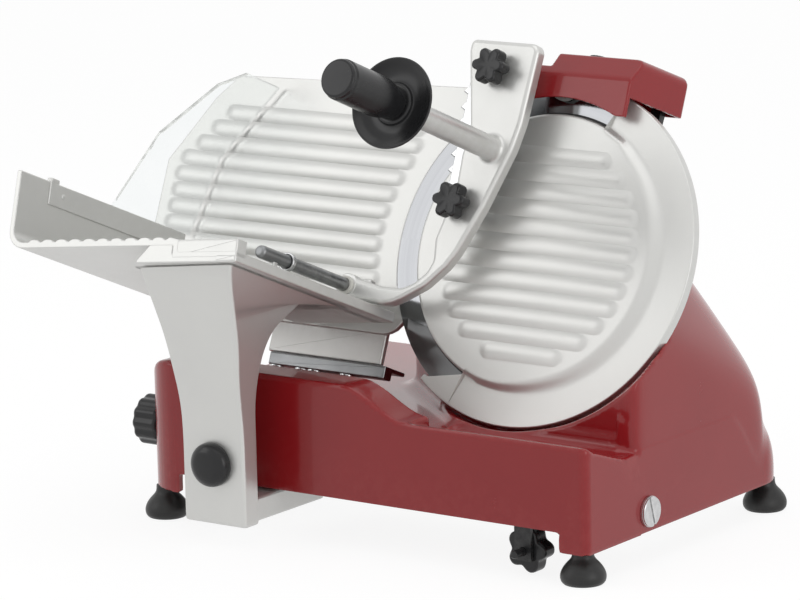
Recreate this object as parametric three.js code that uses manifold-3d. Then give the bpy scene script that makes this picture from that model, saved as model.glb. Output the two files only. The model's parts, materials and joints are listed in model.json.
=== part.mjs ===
// A gravity-feed meat slicer with a 250 mm blade, in millimetres.
// +X runs right along the front, +Y goes back and +Z is up. The feet stand on z = 0.
import * as THREE from "three";
import { mergeVertices } from "three/addons/utils/BufferGeometryUtils.js";
import { ConvexGeometry } from "three/addons/geometries/ConvexGeometry.js";
import Module from "manifold-3d";

const wasm = await Module();
wasm.setup();

// Clearances, and how far a cutter runs past what it cuts.
const gap = 0.3;
const runningGap = 0.5;
const overrun = 5;
const weld = 1e-4;
const roundSides = 20;
const smallSides = 12;
const largeSides = 44;

// The base casting.
const baseLength = 404;
const baseDepth = 278;
const sharpCorner = 9;
const softCorner = 36;
const skirtBottom = 24.5;

// The blade's place along the base, which the tower, the gauge and the carriage follow.
const bladeShare = 0.75;
const bladeSetback = 20;
const bladeX = baseLength * bladeShare - bladeSetback;
const legInset = 205.5;
const legLeft = bladeX - legInset;

// The notch under the front, the deck, the rim and the trough.
const notchInsetLeft = legLeft / 2;
const notchHeight = 38.5;
const notchInsetRight = 24;
const deckHeight = 88;
const deckThickness = 6;
const wall = 6;
const rimHeight = 124;
const rimDepth = 30;
const rimEndInset = 93;
const rimEnd = bladeX - rimEndInset;
const lipHeight = 102;
const lipStartInset = 33;
const lipStart = bladeX - lipStartInset;
const lipWidth = 8;
const troughInset = 85;
const troughStart = bladeX - troughInset;
const troughHeight = 83;
const troughSlope = 38;
const rimRound = 30;

// The tower that carries the blade and holds the motor.
const towerInset = 34;
const towerFrontInset = 64;
const towerTop = 234;
const towerTopDepth = 88;
const towerTopInset = 55;
const cheekHeight = 188;
const cheekRearHeight = 102;
const cheekRearInset = 42;
const ridgeInset = 34;
const ridgeHeight = 190;
const ridgeLowHeight = 118;
const ridgeInsetRear = 80;
const ridgeLowInset = 13;
const housingInset = 141;
const housingHeight = 172;
const housingRearHeight = 100;
const housingFront = 159;
const housingBack = 200;

// The blade, its cover and its guards, in the plane of the blade.
const tilt = THREE.MathUtils.degToRad(22.8);
const bladeY = 126.5;
const bladeHeight = 208;
const bladeRadius = 125;
const bladeThickness = 3.2;
const bevelWidth = 9;
const bladeBore = 20;
const coverRadius = 103.7;
const coverRim = 2.2;
const coverDome = 4.6;
const coverRibs = 11;
const coverRibPitch = 12.4;
const coverRibRadius = 4.2;
const coverRibProud = 1.3;
const coverRibMargin = 17;
const ringOuter = 130.5;
const ringInner = coverRadius + gap;
const ringFace = 3;
const ringWall = 3.5;
const ringStart = THREE.MathUtils.degToRad(-131);
const ringEnd = THREE.MathUtils.degToRad(69);
const backPlateRadius = 119;
const backPlateDepth = 12;
const backPlateGap = 9;
const pocketGap = 3.5;

// The spindle, its bearings, the belt and the motor.
const spindleRadius = 8;
const hubFlangeRadius = 34;
const hubFlangeDepth = 4;
const bearingOuter = 17;
const bearingDepth = 9;
const bearingBossWall = 6;
const bearingBossDepth = 32;
const bladePulleyRadius = 34;
const motorPulleyRadius = 12;
const pulleyDepth = 10;
const pulleyFlange = 2;
const beltThickness = 3;
const motorX = -75;
const motorV = -70;
const motorRadius = 41;
const motorLength = 66;
const motorShaftRadius = 6;
const motorWall = 6;
const tieRodRadius = 3;
const rearSeat = -131;
const rearSeatDepth = 30;
const rearKnobRadius = 21;
const rearKnobDepth = 16;

// The sharpener over the top of the blade.
const sharpenerLeft = -28;
const sharpenerLength = 92;
const sharpenerLow = 117;
const sharpenerApron = 13;
const sharpenerTop = 150;
const sharpenerFront = 15;
const sharpenerBack = 46;
const sharpenerWall = 3;
const sharpenerFold = 132;
const sharpenerRound = 10;
const sharpenerEdge = 117;
const postDepth = 14;
const screwX = -4;
const screwN = -30;
const screwLength = 22;
const screwHead = 7.5;
const screwHeadDepth = 6;
const stoneRadius = 12;
const stoneDepth = 5;
const stoneSpindle = 3;
const stoneV = 126;
const stoneGap = 1.2;
const frontStoneX = -6;
const rearStoneX = 20;
const latchX = 50;
const latchV = 122;
const latchLength = 14;
const latchWidth = 12;
const latchDepth = 6.5;
const latchSwell = 5;

// The thickness gauge plate left of the blade.
const gaugeFront = -2;
const gaugeThickness = 5;
const gaugeLeft = -362;
const gaugeTopLeft = -310;
const gaugeShoulder = 42;
const gaugeTop = 121;
const gaugeTopDrop = 8;
const gaugeBottom = -73;
const gaugeCorner = 18;
const gaugeArcGap = 1.6;
const gaugeRibs = 11;
const gaugeRibPitch = 12.95;
const gaugeRibTop = 84;
const gaugeRibRadius = 4.6;
const gaugeRibProud = 1.5;
const gaugeRibInset = 15;
const gaugeRibMargin = 10;
const gaugeFlangeBottom = -96;
const gaugeFlangeLeft = -232;
const gaugeFlangeBack = 7;
const barLeft = -228;
const barLength = 108;
const barThickness = 10;
const barDepth = 27;
const barBack = 5;
const boltRadius = 4.5;
const boltHead = 5;
const boltShank = 2.5;
const boltGrip = 6;
const boltSetback = 5;
const boltShares = [0.05, 0.27, 0.38, 0.66];
const gaugeTravel = 11;
const gaugeRailInset = 172;
const gaugeRailX = bladeX - gaugeRailInset;
const gaugeRailFront = 66;
const gaugeRailLength = 86;
const gaugeRailHeight = 68;
const gaugeRailRadius = 6;
const railLug = 7;
const gaugeBlockY = 96;
const gaugeBlockDepth = 18;
const gaugeBlockWidth = 18;
const gaugeBlockLow = 60;
const noseHigh = 71;
const noseWidth = 3;

// The index knob and its cam at the left end.
const indexY = 41;
const indexHeight = 66;
const indexKnobRadius = 19.5;
const indexKnobDepth = 30;
const indexLobes = 8;
const indexLobeDepth = 2;
const indexShaftRadius = 5;
const camBase = 6.5;
const camInset = 31;
const camX = gaugeRailX - camInset;
const camThickness = 8;
const camTurn = THREE.MathUtils.degToRad(270);

// The carriage under and before the base.
const rodY = 80;
const rodHeight = 40;
const rodRadius = 9;
const plugRadius = 11.3;
const plugHead = 3.5;
const plugShank = 6;
const plugSlot = 2;
const legWidth = 56.5;
const legFlare = 34;
const legHeight = 240;
const legFront = 42;
const legThickness = 17;
const legLean = 50;
const legSweep = 55;
const legFrontShares = [[0, 0.075], [0, 0.354], [0.04, 0.45], [0.18, 0.55], [0.36, 0.667], [0.84, 0.883], [1, 1]];
const legBackShares = [[1.3, 1], [1, 0.735], [0.45, 0.7375], [0.18, 0.7], [0.036, 0.646], [0, 0.583], [0, 0.075]];
const legSideShares = [[0, 0.075], [0, 0.458], [0.12, 0.55], [0.35, 0.667], [0.76, 0.883], [1, 1]];
const armBottom = 18;
const armThickness = 18;
const armInset = 6;
const blockLength = 66;
const blockWall = 9;
const shoeLength = 28;
const railWidth = 14;
const railThickness = 6;
const railY = 13;
const railHeight = 44;
const capRadius = 16.5;
const capDepth = 11;
const capHeight = 63.5;

// The product tray: a runs along its floor, b stands square to the floor.
const roll = THREE.MathUtils.degToRad(6.3);
const trayX = -111;
const trayV = -49;
const trayWidth = 208;
const trayDepth = 203.6;
const trayClear = 9.4;
const floorThickness = 4.5;
const floorRibs = 11;
const floorRibPitch = 12.6;
const floorRibRadius = 4.8;
const floorRibHeight = 1.8;
const floorRibStart = 24;
const trayWallHeight = 54.6;
const trayWall = 4;
const trayCorner = 10;
const ledgeHeight = 42;
const ledgeDepth = 3;
const ledgeThickness = 5;
const ledgeInset = 34;
const channelWidth = 52;
const channelDrop = 9;
const lipDepth = 12;
const padDrop = 17;
const padLeft = 98;
const padFlare = 12;
const beamWidth = 9;
const postWall = 4;
const postLength = 8;
const saddlePlace = 127;
const saddleWidth = 5;

// The clear guard on the tray's wall.
const guardThickness = 3;
const guardBendLean = 20;
const guardBendHeight = 61;
const guardTopLean = 70;
const guardTopHeight = 115;
const guardStart = 2;
const guardFootDepth = 100;
const guardBendDepth = 80;
const guardCutDepth = 62;
const guardTopDepth = 44;
const guardCutHeight = 104;

// The pusher on its rod.
const hubX = -140;
const hubV = -46;
const pusherRodRadius = 5;
const pusherRodLength = 136;
const pusherRodStart = 12;
const collarRadius = 7;
const collarWidth = 4;
const collarPlace = 110;
const hubRadius = 9.3;
const bushWall = 1.6;
const bushLength = 16;
const pusherFront = 36;
const pusherThickness = 10;
const pusherReach = 126;
const pusherRise = 194;
const armLeftShares = [
  [0.54, 1], [0.537, 0.954], [0.669, 0.608], [0.629, 0.567], [0.622, 0.418], [0.552, 0.216],
  [0.571, 0.134], [0.542, 0.088], [0.468, 0.041], [0.389, 0.0155], [0.246, 0.0134], [0.032, 0.036],
];
const armRightShares = [
  [0, -0.048], [0.317, -0.0567], [0.405, -0.028], [0.548, 0.031], [0.667, 0.113], [0.72, 0.166],
  [0.838, 0.3505], [0.956, 0.586], [0.984, 0.691], [1, 1],
];
const plateTeeth = 8;
const plateThickness = 5;
const toothSize = 4;
const plateX = -75;
const plateLow = 22;
const plateLength = 96;
const plateWidth = 39;
const plateShares = [[0, 0], [0.2, -0.08], [0.74, -0.08], [1, 0.4], [1, 1.17], [0.49, 1.17], [0, 1]];
const starRadius = 14;
const starDepth = 12;
const starHub = 6;
const starLobes = 7;
const studRadius = 3;
const upperStarX = -46;
const upperStarV = 126;
const lowerStarX = -56;
const lowerStarV = 24;
const handleX = -37;
const handleV = 67;
const handleRadius = 9;
const handleSpigot = 5;
const handleLength = 190;
const discSetback = 66;
const discPlace = handleLength - discSetback;
const discRadius = 33.5;
const discThickness = 4;
const discDish = 7;
const gripRadius = 15.5;
const gripNeck = 12.5;
const gripLength = 70;
const gripCap = 12;

// Feet, lock, switch and cable gland.
const footInsetX = 14;
const footInsetY = 16;
const footTop = 9.5;
const footWidest = 16.5;
const footBottom = 15;
const footWaist = 5;
const bottomPlateThickness = 2;
const bottomPlateInset = 30;
const lockInset = 59;
const lockX = baseLength - lockInset;
const lockHeight = 19;
const lockKnobRadius = 17;
const lockKnobDepth = 14;
const lockLobes = 5;
const lockPlateWidth = 14;
const lockPlateThickness = 3;
const switchY = 175;
const switchHeight = 62;
const switchLength = 62;
const switchTall = 34;
const switchDepth = 9;
const buttonRadius = 9;
const buttonDepth = 5;
const buttonSpacing = 30;
const glandX = 60;
const glandHeight = 50;
const glandRadius = 9;
const glandLength = 20;
const glandBore = 4;

const red = { color: 0x7a2a2c, roughness: 0.35, metalness: 0.1 };
const castAluminium = { color: 0xccccc8, roughness: 0.45, metalness: 0.85 };
const brightSteel = { color: 0xb9bcbf, roughness: 0.25, metalness: 1 };
const darkSteel = { color: 0x6d7072, roughness: 0.35, metalness: 1 };
const bladeSteel = { color: 0x8f9498, roughness: 0.12, metalness: 1 };
const blackPlastic = { color: 0x1c1c1e, roughness: 0.45, metalness: 0 };
const blackRubber = { color: 0x151515, roughness: 0.85, metalness: 0 };
const clearSheet = { color: 0xeef4f4, roughness: 0.08, metalness: 0, transparent: true, opacity: 0.3 };
const whiteNylon = { color: 0xe6e4dc, roughness: 0.6, metalness: 0 };
const grit = { color: 0x8c8a86, roughness: 0.95, metalness: 0 };
const copper = { color: 0x9a5b3c, roughness: 0.4, metalness: 0.8 };
const greenPlastic = { color: 0x2f7d4a, roughness: 0.4, metalness: 0 };
const redPlastic = { color: 0xb02a26, roughness: 0.4, metalness: 0 };

// A closed geometry as a solid, and a solid as a geometry again.
function solidOf(geometry) {
  if (!geometry.isBufferGeometry) return geometry;
  const loose = geometry.index ? geometry.toNonIndexed() : geometry;
  const bare = new THREE.BufferGeometry().setAttribute("position", loose.getAttribute("position"));
  const merged = mergeVertices(bare, weld);
  return new wasm.Manifold(
    new wasm.Mesh({
      numProp: 3,
      vertProperties: merged.attributes.position.array,
      triVerts: new Uint32Array(merged.index.array),
    }),
  );
}

function geometryOf(solid) {
  const mesh = solid.getMesh();
  const indexed = new THREE.BufferGeometry()
    .setAttribute("position", new THREE.BufferAttribute(mesh.vertProperties, 3))
    .setIndex(new THREE.BufferAttribute(mesh.triVerts, 1));
  const flat = indexed.toNonIndexed();
  flat.computeVertexNormals();
  return flat;
}

function joined(...pieces) {
  return pieces.map(solidOf).reduce((all, one) => all.add(one));
}

function carved(body, ...cutters) {
  return solidOf(body).subtract(joined(...cutters));
}

function shared(body, other) {
  return solidOf(body).intersect(solidOf(other));
}

function join(...pieces) {
  return geometryOf(joined(...pieces));
}

function cut(body, ...cutters) {
  return geometryOf(carved(body, ...cutters));
}

function keep(body, other) {
  return geometryOf(shared(body, other));
}

function mesh(name, geometry, finish) {
  const piece = new THREE.Mesh(geometry, new THREE.MeshStandardMaterial(finish));
  piece.name = name;
  return piece;
}

function group(...pieces) {
  const holder = new THREE.Group();
  holder.add(...pieces);
  return holder;
}

function box(x0, x1, y0, y1, z0, z1) {
  const block = new THREE.BoxGeometry(x1 - x0, y1 - y0, z1 - z0);
  return block.translate((x0 + x1) / 2, (y0 + y1) / 2, (z0 + z1) / 2);
}

// A geometry made along z is turned to run along x or y, with its outline in (y, z) or (x, z).
function turnTo(axis, geometry) {
  const x = new THREE.Vector3(1, 0, 0);
  const y = new THREE.Vector3(0, 1, 0);
  const z = new THREE.Vector3(0, 0, 1);
  const turn = new THREE.Matrix4();
  if (axis === "x") turn.makeBasis(y, z, x);
  if (axis === "y") turn.makeBasis(x, z, y.clone().negate());
  return geometry.applyMatrix4(turn);
}

function prism(axis, outline, low, high, holes = []) {
  const shape = outline.isShape ? outline : new THREE.Shape(outline.map(([a, b]) => new THREE.Vector2(a, b)));
  shape.holes.push(...holes);
  const slab = new THREE.ExtrudeGeometry(shape, { depth: high - low, bevelEnabled: false, curveSegments: 8 });
  const start = axis === "y" ? -high : low;
  return turnTo(axis, slab.translate(0, 0, start));
}

// A round bar along an axis through (a, b); its second radius tapers it.
function bar(axis, radius, low, high, a = 0, b = 0, farRadius = radius, sides = roundSides) {
  const round = new THREE.CylinderGeometry(farRadius, radius, high - low, sides);
  round.rotateX(Math.PI / 2).translate(0, 0, (low + high) / 2);
  if (axis === "z") return round.translate(a, b, 0);
  if (axis === "x") return turnTo("x", round.translate(a, b, 0));
  return turnTo("y", round.rotateX(Math.PI).translate(a, b, 0));
}

// A profile of [radius, place] turned round the z axis.
function spun(profile, sides = roundSides) {
  const points = profile.map(([r, h]) => new THREE.Vector2(r, h));
  return new THREE.LatheGeometry(points, sides).rotateX(Math.PI / 2);
}

function point([a, b]) {
  return new THREE.Vector2(a, b);
}

function arc(a, b, radius, from, to, steps) {
  return Array.from({ length: steps + 1 }, (_, i) => {
    const turn = from + ((to - from) * i) / steps;
    return [a + radius * Math.cos(turn), b + radius * Math.sin(turn)];
  });
}

// A round knob with lobes: the radius swells and sinks round the rim.
function lobedOutline(radius, depth, lobes, steps = 5) {
  const count = lobes * steps;
  return Array.from({ length: count }, (_, i) => {
    const turn = (Math.PI * 2 * i) / count;
    const reach = radius - (depth * (1 - Math.cos(turn * lobes))) / 2;
    return [reach * Math.cos(turn), reach * Math.sin(turn)];
  });
}

// The frame of the blade: x right, v up in the blade's plane, n towards the user.
function bladeFrame(...pieces) {
  const frame = group(...pieces);
  frame.position.set(bladeX, bladeY, bladeHeight);
  frame.rotation.x = Math.PI / 2 - tilt;
  return frame;
}

// The frame of the tray: a along its floor, b square to the floor, n as on the blade.
function trayFrame(...pieces) {
  const frame = group(...pieces);
  frame.position.set(trayX, trayV, 0);
  frame.rotation.z = roll;
  return frame;
}

const bladeMatrix = new THREE.Matrix4()
  .makeTranslation(bladeX, bladeY, bladeHeight)
  .multiply(new THREE.Matrix4().makeRotationX(Math.PI / 2 - tilt));
const trayMatrix = new THREE.Matrix4()
  .makeTranslation(trayX, trayV, 0)
  .multiply(new THREE.Matrix4().makeRotationZ(roll));

function fromBlade(geometry) {
  return geometry.applyMatrix4(bladeMatrix);
}

function fromTray(geometry) {
  return fromBlade(geometry.applyMatrix4(trayMatrix));
}

// Where the parts of the spindle lie along n, from the blade back.
const backPlateFront = -bladeThickness - backPlateGap;
const bossEnd = backPlateFront - bearingBossDepth;
const pulleyFront = bossEnd - pulleyFlange;
const pulleyBack = pulleyFront - pulleyDepth;
const motorWallFront = pulleyBack - pulleyFlange;
const motorFront = motorWallFront - motorWall - gap;
const barV = gaugeFlangeBottom - gap - barThickness;
const coverBack = gap * 2;

// The plan of the base: one sharp corner at the front right, soft ones elsewhere.
function basePlan(inset) {
  const right = baseLength - inset;
  const back = baseDepth - inset;
  const soft = softCorner - inset;
  const sharp = sharpCorner - inset / 2;
  const quarter = Math.PI / 2;
  return [
    ...arc(inset + soft, inset + soft, soft, quarter * 2, quarter * 3, 6),
    ...arc(right - sharp, inset + sharp, sharp, -quarter, 0, 3),
    ...arc(right - soft, back - soft, soft, 0, quarter, 6),
    ...arc(inset + soft, back - soft, soft, quarter, quarter * 2, 6),
  ];
}

// The front of the base seen along y: a high rim at the left that swings down to a low lip.
function rimOutline() {
  const fall = rimHeight - lipHeight;
  const swing = lipStart - rimEnd;
  const curve = Array.from({ length: 9 }, (_, i) => {
    const share = i / 8;
    return [rimEnd + swing * share, rimHeight - (fall * (1 - Math.cos(Math.PI * share))) / 2];
  });
  return [
    [0, skirtBottom],
    [baseLength, skirtBottom],
    [baseLength, lipHeight],
    ...curve.reverse(),
    ...arc(rimRound, rimHeight - rimRound, rimRound, Math.PI / 2, Math.PI, 5),
  ];
}

// The corners of the tower's outside, or of its hollow when they are drawn in by an inset.
function towerCorners(inset) {
  const right = baseLength - inset;
  const left = bladeX - towerInset + inset;
  const farLeft = bladeX - housingInset + inset;
  const front = towerFrontInset + inset;
  const foot = inset ? -overrun : skirtBottom;
  const ridgeX = baseLength - ridgeInset - inset;
  const topBack = front + towerTopInset + towerTopDepth - 2 * inset;
  const cheekRearY = baseDepth - cheekRearInset - inset;
  const rear = baseDepth - ridgeLowInset - inset;
  const corners = [
    [right, front, foot],
    [right, front, cheekHeight - inset],
    [right, cheekRearY, cheekRearHeight - inset],
    [right, cheekRearY, foot],
    [ridgeX, front + towerTopInset, towerTop - inset],
    [ridgeX, baseDepth - ridgeInsetRear - inset, ridgeHeight - inset],
    [ridgeX, rear, ridgeLowHeight - inset],
    [ridgeX, rear, foot],
    [left, front, foot],
    [left, front, cheekHeight - inset],
    [left, front + towerTopInset, towerTop - inset],
    [left, topBack, towerTop - inset],
    [bladeX + hubFlangeRadius, topBack, towerTop - inset],
    [farLeft, housingFront + inset, foot],
    [farLeft, housingFront + inset, housingHeight - inset],
    [farLeft, housingBack - inset, housingHeight - inset],
    [farLeft, rear, housingRearHeight - inset],
    [farLeft, rear, foot],
  ];
  return new ConvexGeometry(corners.map((corner) => new THREE.Vector3(...corner)));
}

function gaugeRailLug(place) {
  return box(
    gaugeRailX - gaugeBlockWidth / 2,
    gaugeRailX + gaugeBlockWidth / 2,
    place,
    place + railLug,
    gaugeBlockLow,
    deckHeight - wall / 2,
  );
}

function baseCasting() {
  const deckUnder = troughHeight - deckThickness;
  const plinth = prism("z", basePlan(0), skirtBottom, deckHeight);
  const rim = shared(
    prism("y", rimOutline(), 0, rimDepth),
    prism("z", basePlan(0), skirtBottom, rimHeight + overrun),
  );
  const trough = prism(
    "x",
    [
      [lipWidth, lipHeight],
      [lipWidth + (troughSlope - lipWidth) / 3, deckHeight],
      [troughSlope, troughHeight],
      [towerFrontInset + overrun, troughHeight],
      [towerFrontInset + overrun, rimHeight + overrun],
      [lipWidth, rimHeight + overrun],
    ],
    troughStart,
    baseLength + overrun,
  );
  const ridge = towerCorners(0);
  const backPlate = fromBlade(
    spun([
      [0, backPlateFront - backPlateDepth],
      [backPlateRadius - backPlateDepth, backPlateFront - backPlateDepth],
      [backPlateRadius, backPlateFront - backPlateDepth / 2],
      [backPlateRadius, backPlateFront],
      [0, backPlateFront],
    ], largeSides),
  );
  const pocketReach = bladeRadius + ringWall;
  const pocket = fromBlade(
    bar("z", ringOuter + pocketGap, backPlateFront, pocketReach, 0, 0, ringOuter + pocketGap, largeSides),
  );
  const hollowPocket = fromBlade(
    bar("z", ringOuter + pocketGap + wall, backPlateFront - wall, pocketReach),
  );
  const towerHollow = carved(towerCorners(wall), hollowPocket);
  const belly = prism("z", basePlan(wall), skirtBottom - overrun, deckUnder);
  const notch = box(
    notchInsetLeft,
    baseLength - notchInsetRight,
    -overrun,
    wall + overrun,
    skirtBottom - overrun,
    notchHeight,
  );
  const outside = joined(carved(joined(plinth, rim), trough), ridge, backPlate);
  const shell = carved(outside, pocket, towerHollow, belly, notch);

  const boss = fromBlade(bar("z", bearingOuter + bearingBossWall, bossEnd, backPlateFront - wall / 2));
  const motorWallPlate = shared(
    fromBlade(
      box(
        motorX - motorRadius - overrun,
        bladeRadius,
        motorV - motorRadius,
        motorRadius,
        motorWallFront - motorWall,
        motorWallFront,
      ),
    ),
    towerCorners(wall / 2),
  );
  const footBosses = footPlaces().map(([x, y]) =>
    bar("z", footTop + wall / 2, skirtBottom, deckUnder + wall / 2, x, y),
  );
  const lugs = [gaugeRailFront, gaugeRailFront + gaugeRailLength - railLug].map(gaugeRailLug);
  const knobSeat = fromBlade(bar("z", rearKnobRadius - gap, rearSeat, rearSeat + rearSeatDepth));
  const post = fromBlade(
    box(
      sharpenerLeft + sharpenerWall * 5 + gap,
      sharpenerLeft + sharpenerLength / 2,
      backPlateRadius - softCorner,
      sharpenerTop - sharpenerWall - gap,
      backPlateFront - backPlateDepth - postDepth,
      backPlateFront - backPlateDepth / 2,
    ),
  );
  const whole = joined(shell, boss, motorWallPlate, knobSeat, post, ...footBosses, ...lugs);

  const spindleBore = fromBlade(
    bar("z", spindleRadius + gap * 2, bossEnd - overrun, backPlateFront + overrun),
  );
  const bearingSeats = [
    fromBlade(bar("z", bearingOuter + gap, backPlateFront - bearingDepth - gap, backPlateFront + overrun)),
    fromBlade(bar("z", bearingOuter + gap, bossEnd - overrun, bossEnd + bearingDepth + gap)),
  ];
  const shaftBore = fromBlade(
    bar("z", motorShaftRadius * 2, motorWallFront - motorWall - overrun, motorWallFront + overrun, motorX, motorV),
  );
  const tieBore = fromBlade(bar("z", tieRodRadius + gap, rearSeat - overrun, bossEnd - overrun));
  const spotFace = fromBlade(bar("z", rearKnobRadius + runningGap, rearSeat - softCorner, rearSeat));
  const screwBore = fromBlade(
    bar("y", studRadius + gap, sharpenerTop - screwLength, sharpenerTop, screwX, screwN),
  );
  const gaugeSlot = box(
    camX - overrun / 2,
    gaugeRailX + gaugeBlockWidth / 2 + runningGap * 2,
    gaugeBlockY - runningGap * 2,
    gaugeBlockY + gaugeBlockDepth + gaugeTravel + runningGap * 2,
    gaugeBlockLow,
    deckHeight + overrun,
  );
  const camBay = box(
    camX - overrun / 2,
    camX + camThickness + overrun,
    indexY - camBase - gaugeTravel - overrun / 2,
    gaugeBlockY + overrun,
    gaugeBlockLow,
    indexHeight + camBase + gaugeTravel + runningGap,
  );
  const railBore = bar(
    "y", gaugeRailRadius + gap, gaugeRailFront - overrun, gaugeRailFront + gaugeRailLength + overrun,
    gaugeRailX, gaugeRailHeight,
  );
  const indexBore = bar("x", indexShaftRadius + gap, -overrun, wall + overrun, indexY, indexHeight);
  const plugBores = bar("x", plugShank + gap, -overrun, baseLength + overrun, rodY, rodHeight);
  const glandSeat = bar(
    "y", glandRadius - glandBore / 2 + gap, baseDepth - wall - overrun, baseDepth + overrun, glandX, glandHeight,
  );
  return cut(
    whole, spindleBore, ...bearingSeats, shaftBore, tieBore, spotFace, screwBore, gaugeSlot, camBay,
    railBore, indexBore, plugBores, glandSeat,
  );
}

function footPlaces() {
  return [
    [footInsetX, footInsetY],
    [baseLength - footInsetX, footInsetY],
    [footInsetX, baseDepth - footInsetY],
    [baseLength - footInsetX, baseDepth - footInsetY],
  ];
}

function feet() {
  const names = ["foot_front_left", "foot_front_right", "foot_rear_left", "foot_rear_right"];
  const top = skirtBottom - gap;
  const profile = [
    [0, 0],
    [footBottom, 0],
    [footWidest, footWaist],
    [(footWidest + footTop) / 2, top / 2],
    [footTop, top],
    [0, top],
  ];
  return footPlaces().map(([x, y], i) => mesh(names[i], spun(profile).translate(x, y, 0), blackRubber));
}

function bottomPlate() {
  const top = skirtBottom - gap;
  const plate = box(
    bottomPlateInset,
    baseLength - bottomPlateInset,
    rodY + rodRadius + blockWall + overrun,
    baseDepth - wall / 2,
    top - bottomPlateThickness,
    top,
  );
  return mesh("bottom_plate", plate, brightSteel);
}

// The round rod that carries the carriage, with a slotted plug at each end.
function slideRod() {
  const left = wall + gap;
  const right = baseLength - wall - gap;
  const rod = bar("x", rodRadius, left, right, rodY, rodHeight);
  const holes = [
    bar("x", plugShank + gap, left - overrun, left + rodRadius, rodY, rodHeight),
    bar("x", plugShank + gap, right - rodRadius, right + overrun, rodY, rodHeight),
  ];
  return mesh("slide_rod", cut(rod, ...holes), brightSteel);
}

function rodPlug(name, face, outward) {
  const head = face + outward * (gap + plugHead);
  const inner = face - outward * (wall + rodRadius - gap);
  const sorted = (a, b) => [Math.min(a, b), Math.max(a, b)];
  const disc = bar("x", plugRadius, ...sorted(face + outward * gap, head), rodY, rodHeight);
  const shank = bar("x", plugShank, ...sorted(inner, face + outward * (gap + plugHead / 2)), rodY, rodHeight);
  const slot = box(
    ...sorted(head - (outward * plugHead) / 2, head + outward * overrun),
    rodY - plugSlot / 2,
    rodY + plugSlot / 2,
    rodHeight - plugRadius - overrun,
    rodHeight + plugRadius + overrun,
  );
  return mesh(name, cut(joined(disc, shank), slot), brightSteel);
}

function guideRail() {
  const inset = footInsetX + footTop + wall / 2 + gap;
  const rail = box(inset, baseLength - inset, railY, railY + railWidth, railHeight, railHeight + railThickness);
  return mesh("guide_rail", rail, brightSteel);
}

function lockBracket() {
  const y = wall + gap;
  const plate = box(
    lockX - lockPlateWidth / 2, lockX + lockPlateWidth / 2, y, y + lockPlateThickness,
    lockHeight - lockPlateWidth / 2, railHeight,
  );
  const hole = bar("y", studRadius + gap, y - overrun, y + lockPlateThickness + overrun, lockX, lockHeight);
  return mesh("lock_bracket", cut(plate, hole), blackPlastic);
}

function lockKnob() {
  const start = wall + gap + lockPlateThickness + gap;
  const outline = lobedOutline(lockKnobRadius, lockKnobRadius / 4, lockLobes);
  const knob = prism("y", outline, start, start + lockKnobDepth).translate(lockX, 0, lockHeight);
  const stud = bar("y", studRadius, -overrun, start + overrun, lockX, lockHeight, studRadius, smallSides);
  return mesh("lock_knob", join(knob, stud), blackPlastic);
}

function switchUnit() {
  const y0 = switchY - switchLength / 2;
  const y1 = switchY + switchLength / 2;
  const z0 = switchHeight - switchTall / 2;
  const places = [switchY - buttonSpacing / 2, switchY + buttonSpacing / 2];
  const housing = cut(
    box(-gap - switchDepth, -gap, y0, y1, z0, z0 + switchTall),
    ...places.map((y) => bar("x", buttonRadius + gap, -gap - switchDepth - overrun, -gap * 5, y, switchHeight)),
  );
  const buttons = places.map((y) =>
    bar("x", buttonRadius, -switchDepth - buttonDepth, -switchDepth + buttonDepth / 2, y, switchHeight),
  );
  return {
    housing: mesh("switch_housing", housing, blackPlastic),
    stop: mesh("stop_button", buttons[0], redPlastic),
    start: mesh("start_button", buttons[1], greenPlastic),
  };
}

function cordGland() {
  const collar = baseDepth + gap;
  const neck = glandRadius - glandBore / 2;
  const gland = spun([
    [glandBore, -wall],
    [neck, -wall],
    [neck, gap],
    [glandRadius, gap],
    [glandRadius, gap + glandLength / 4],
    [neck, glandLength],
    [glandBore, glandLength],
    [glandBore, -wall],
  ]);
  gland.rotateX(-Math.PI / 2).translate(glandX, collar - gap, glandHeight);
  return mesh("cord_gland", gland, blackPlastic);
}

// The blade with its bevelled edge at n = 0.
function blade() {
  const back = -bladeThickness;
  const front = -bladeThickness / 5;
  const profile = [
    [bladeBore, back],
    [bladeRadius - bevelWidth, back],
    [bladeRadius, front / 2],
    [bladeRadius, 0],
    [bladeRadius - bevelWidth, 0],
    [bladeRadius - bevelWidth * 2, front],
    [bladeBore, front],
    [bladeBore, back],
  ];
  return mesh("blade", spun(profile, largeSides), bladeSteel);
}

// The hollow spindle with the flange that the blade sits on.
function bladeSpindle() {
  const bore = tieRodRadius + runningGap;
  const seat = -bladeThickness - gap;
  const spigot = bladeBore - gap;
  const profile = [
    [bore, pulleyBack],
    [spindleRadius, pulleyBack],
    [spindleRadius, seat - hubFlangeDepth],
    [hubFlangeRadius, seat - hubFlangeDepth],
    [hubFlangeRadius, seat],
    [spigot, seat],
    [spigot, -bladeThickness / 4],
    [bore, -bladeThickness / 4],
    [bore, pulleyBack],
  ];
  return mesh("blade_spindle", spun(profile), brightSteel);
}

function hoop(name, outer, inner, low, high, finish) {
  const profile = [
    [inner, low],
    [outer, low],
    [outer, high],
    [inner, high],
    [inner, low],
  ];
  return mesh(name, spun(profile), finish);
}

function bearing(name, low, high) {
  return hoop(name, bearingOuter, spindleRadius + gap, low, high, brightSteel);
}

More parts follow.
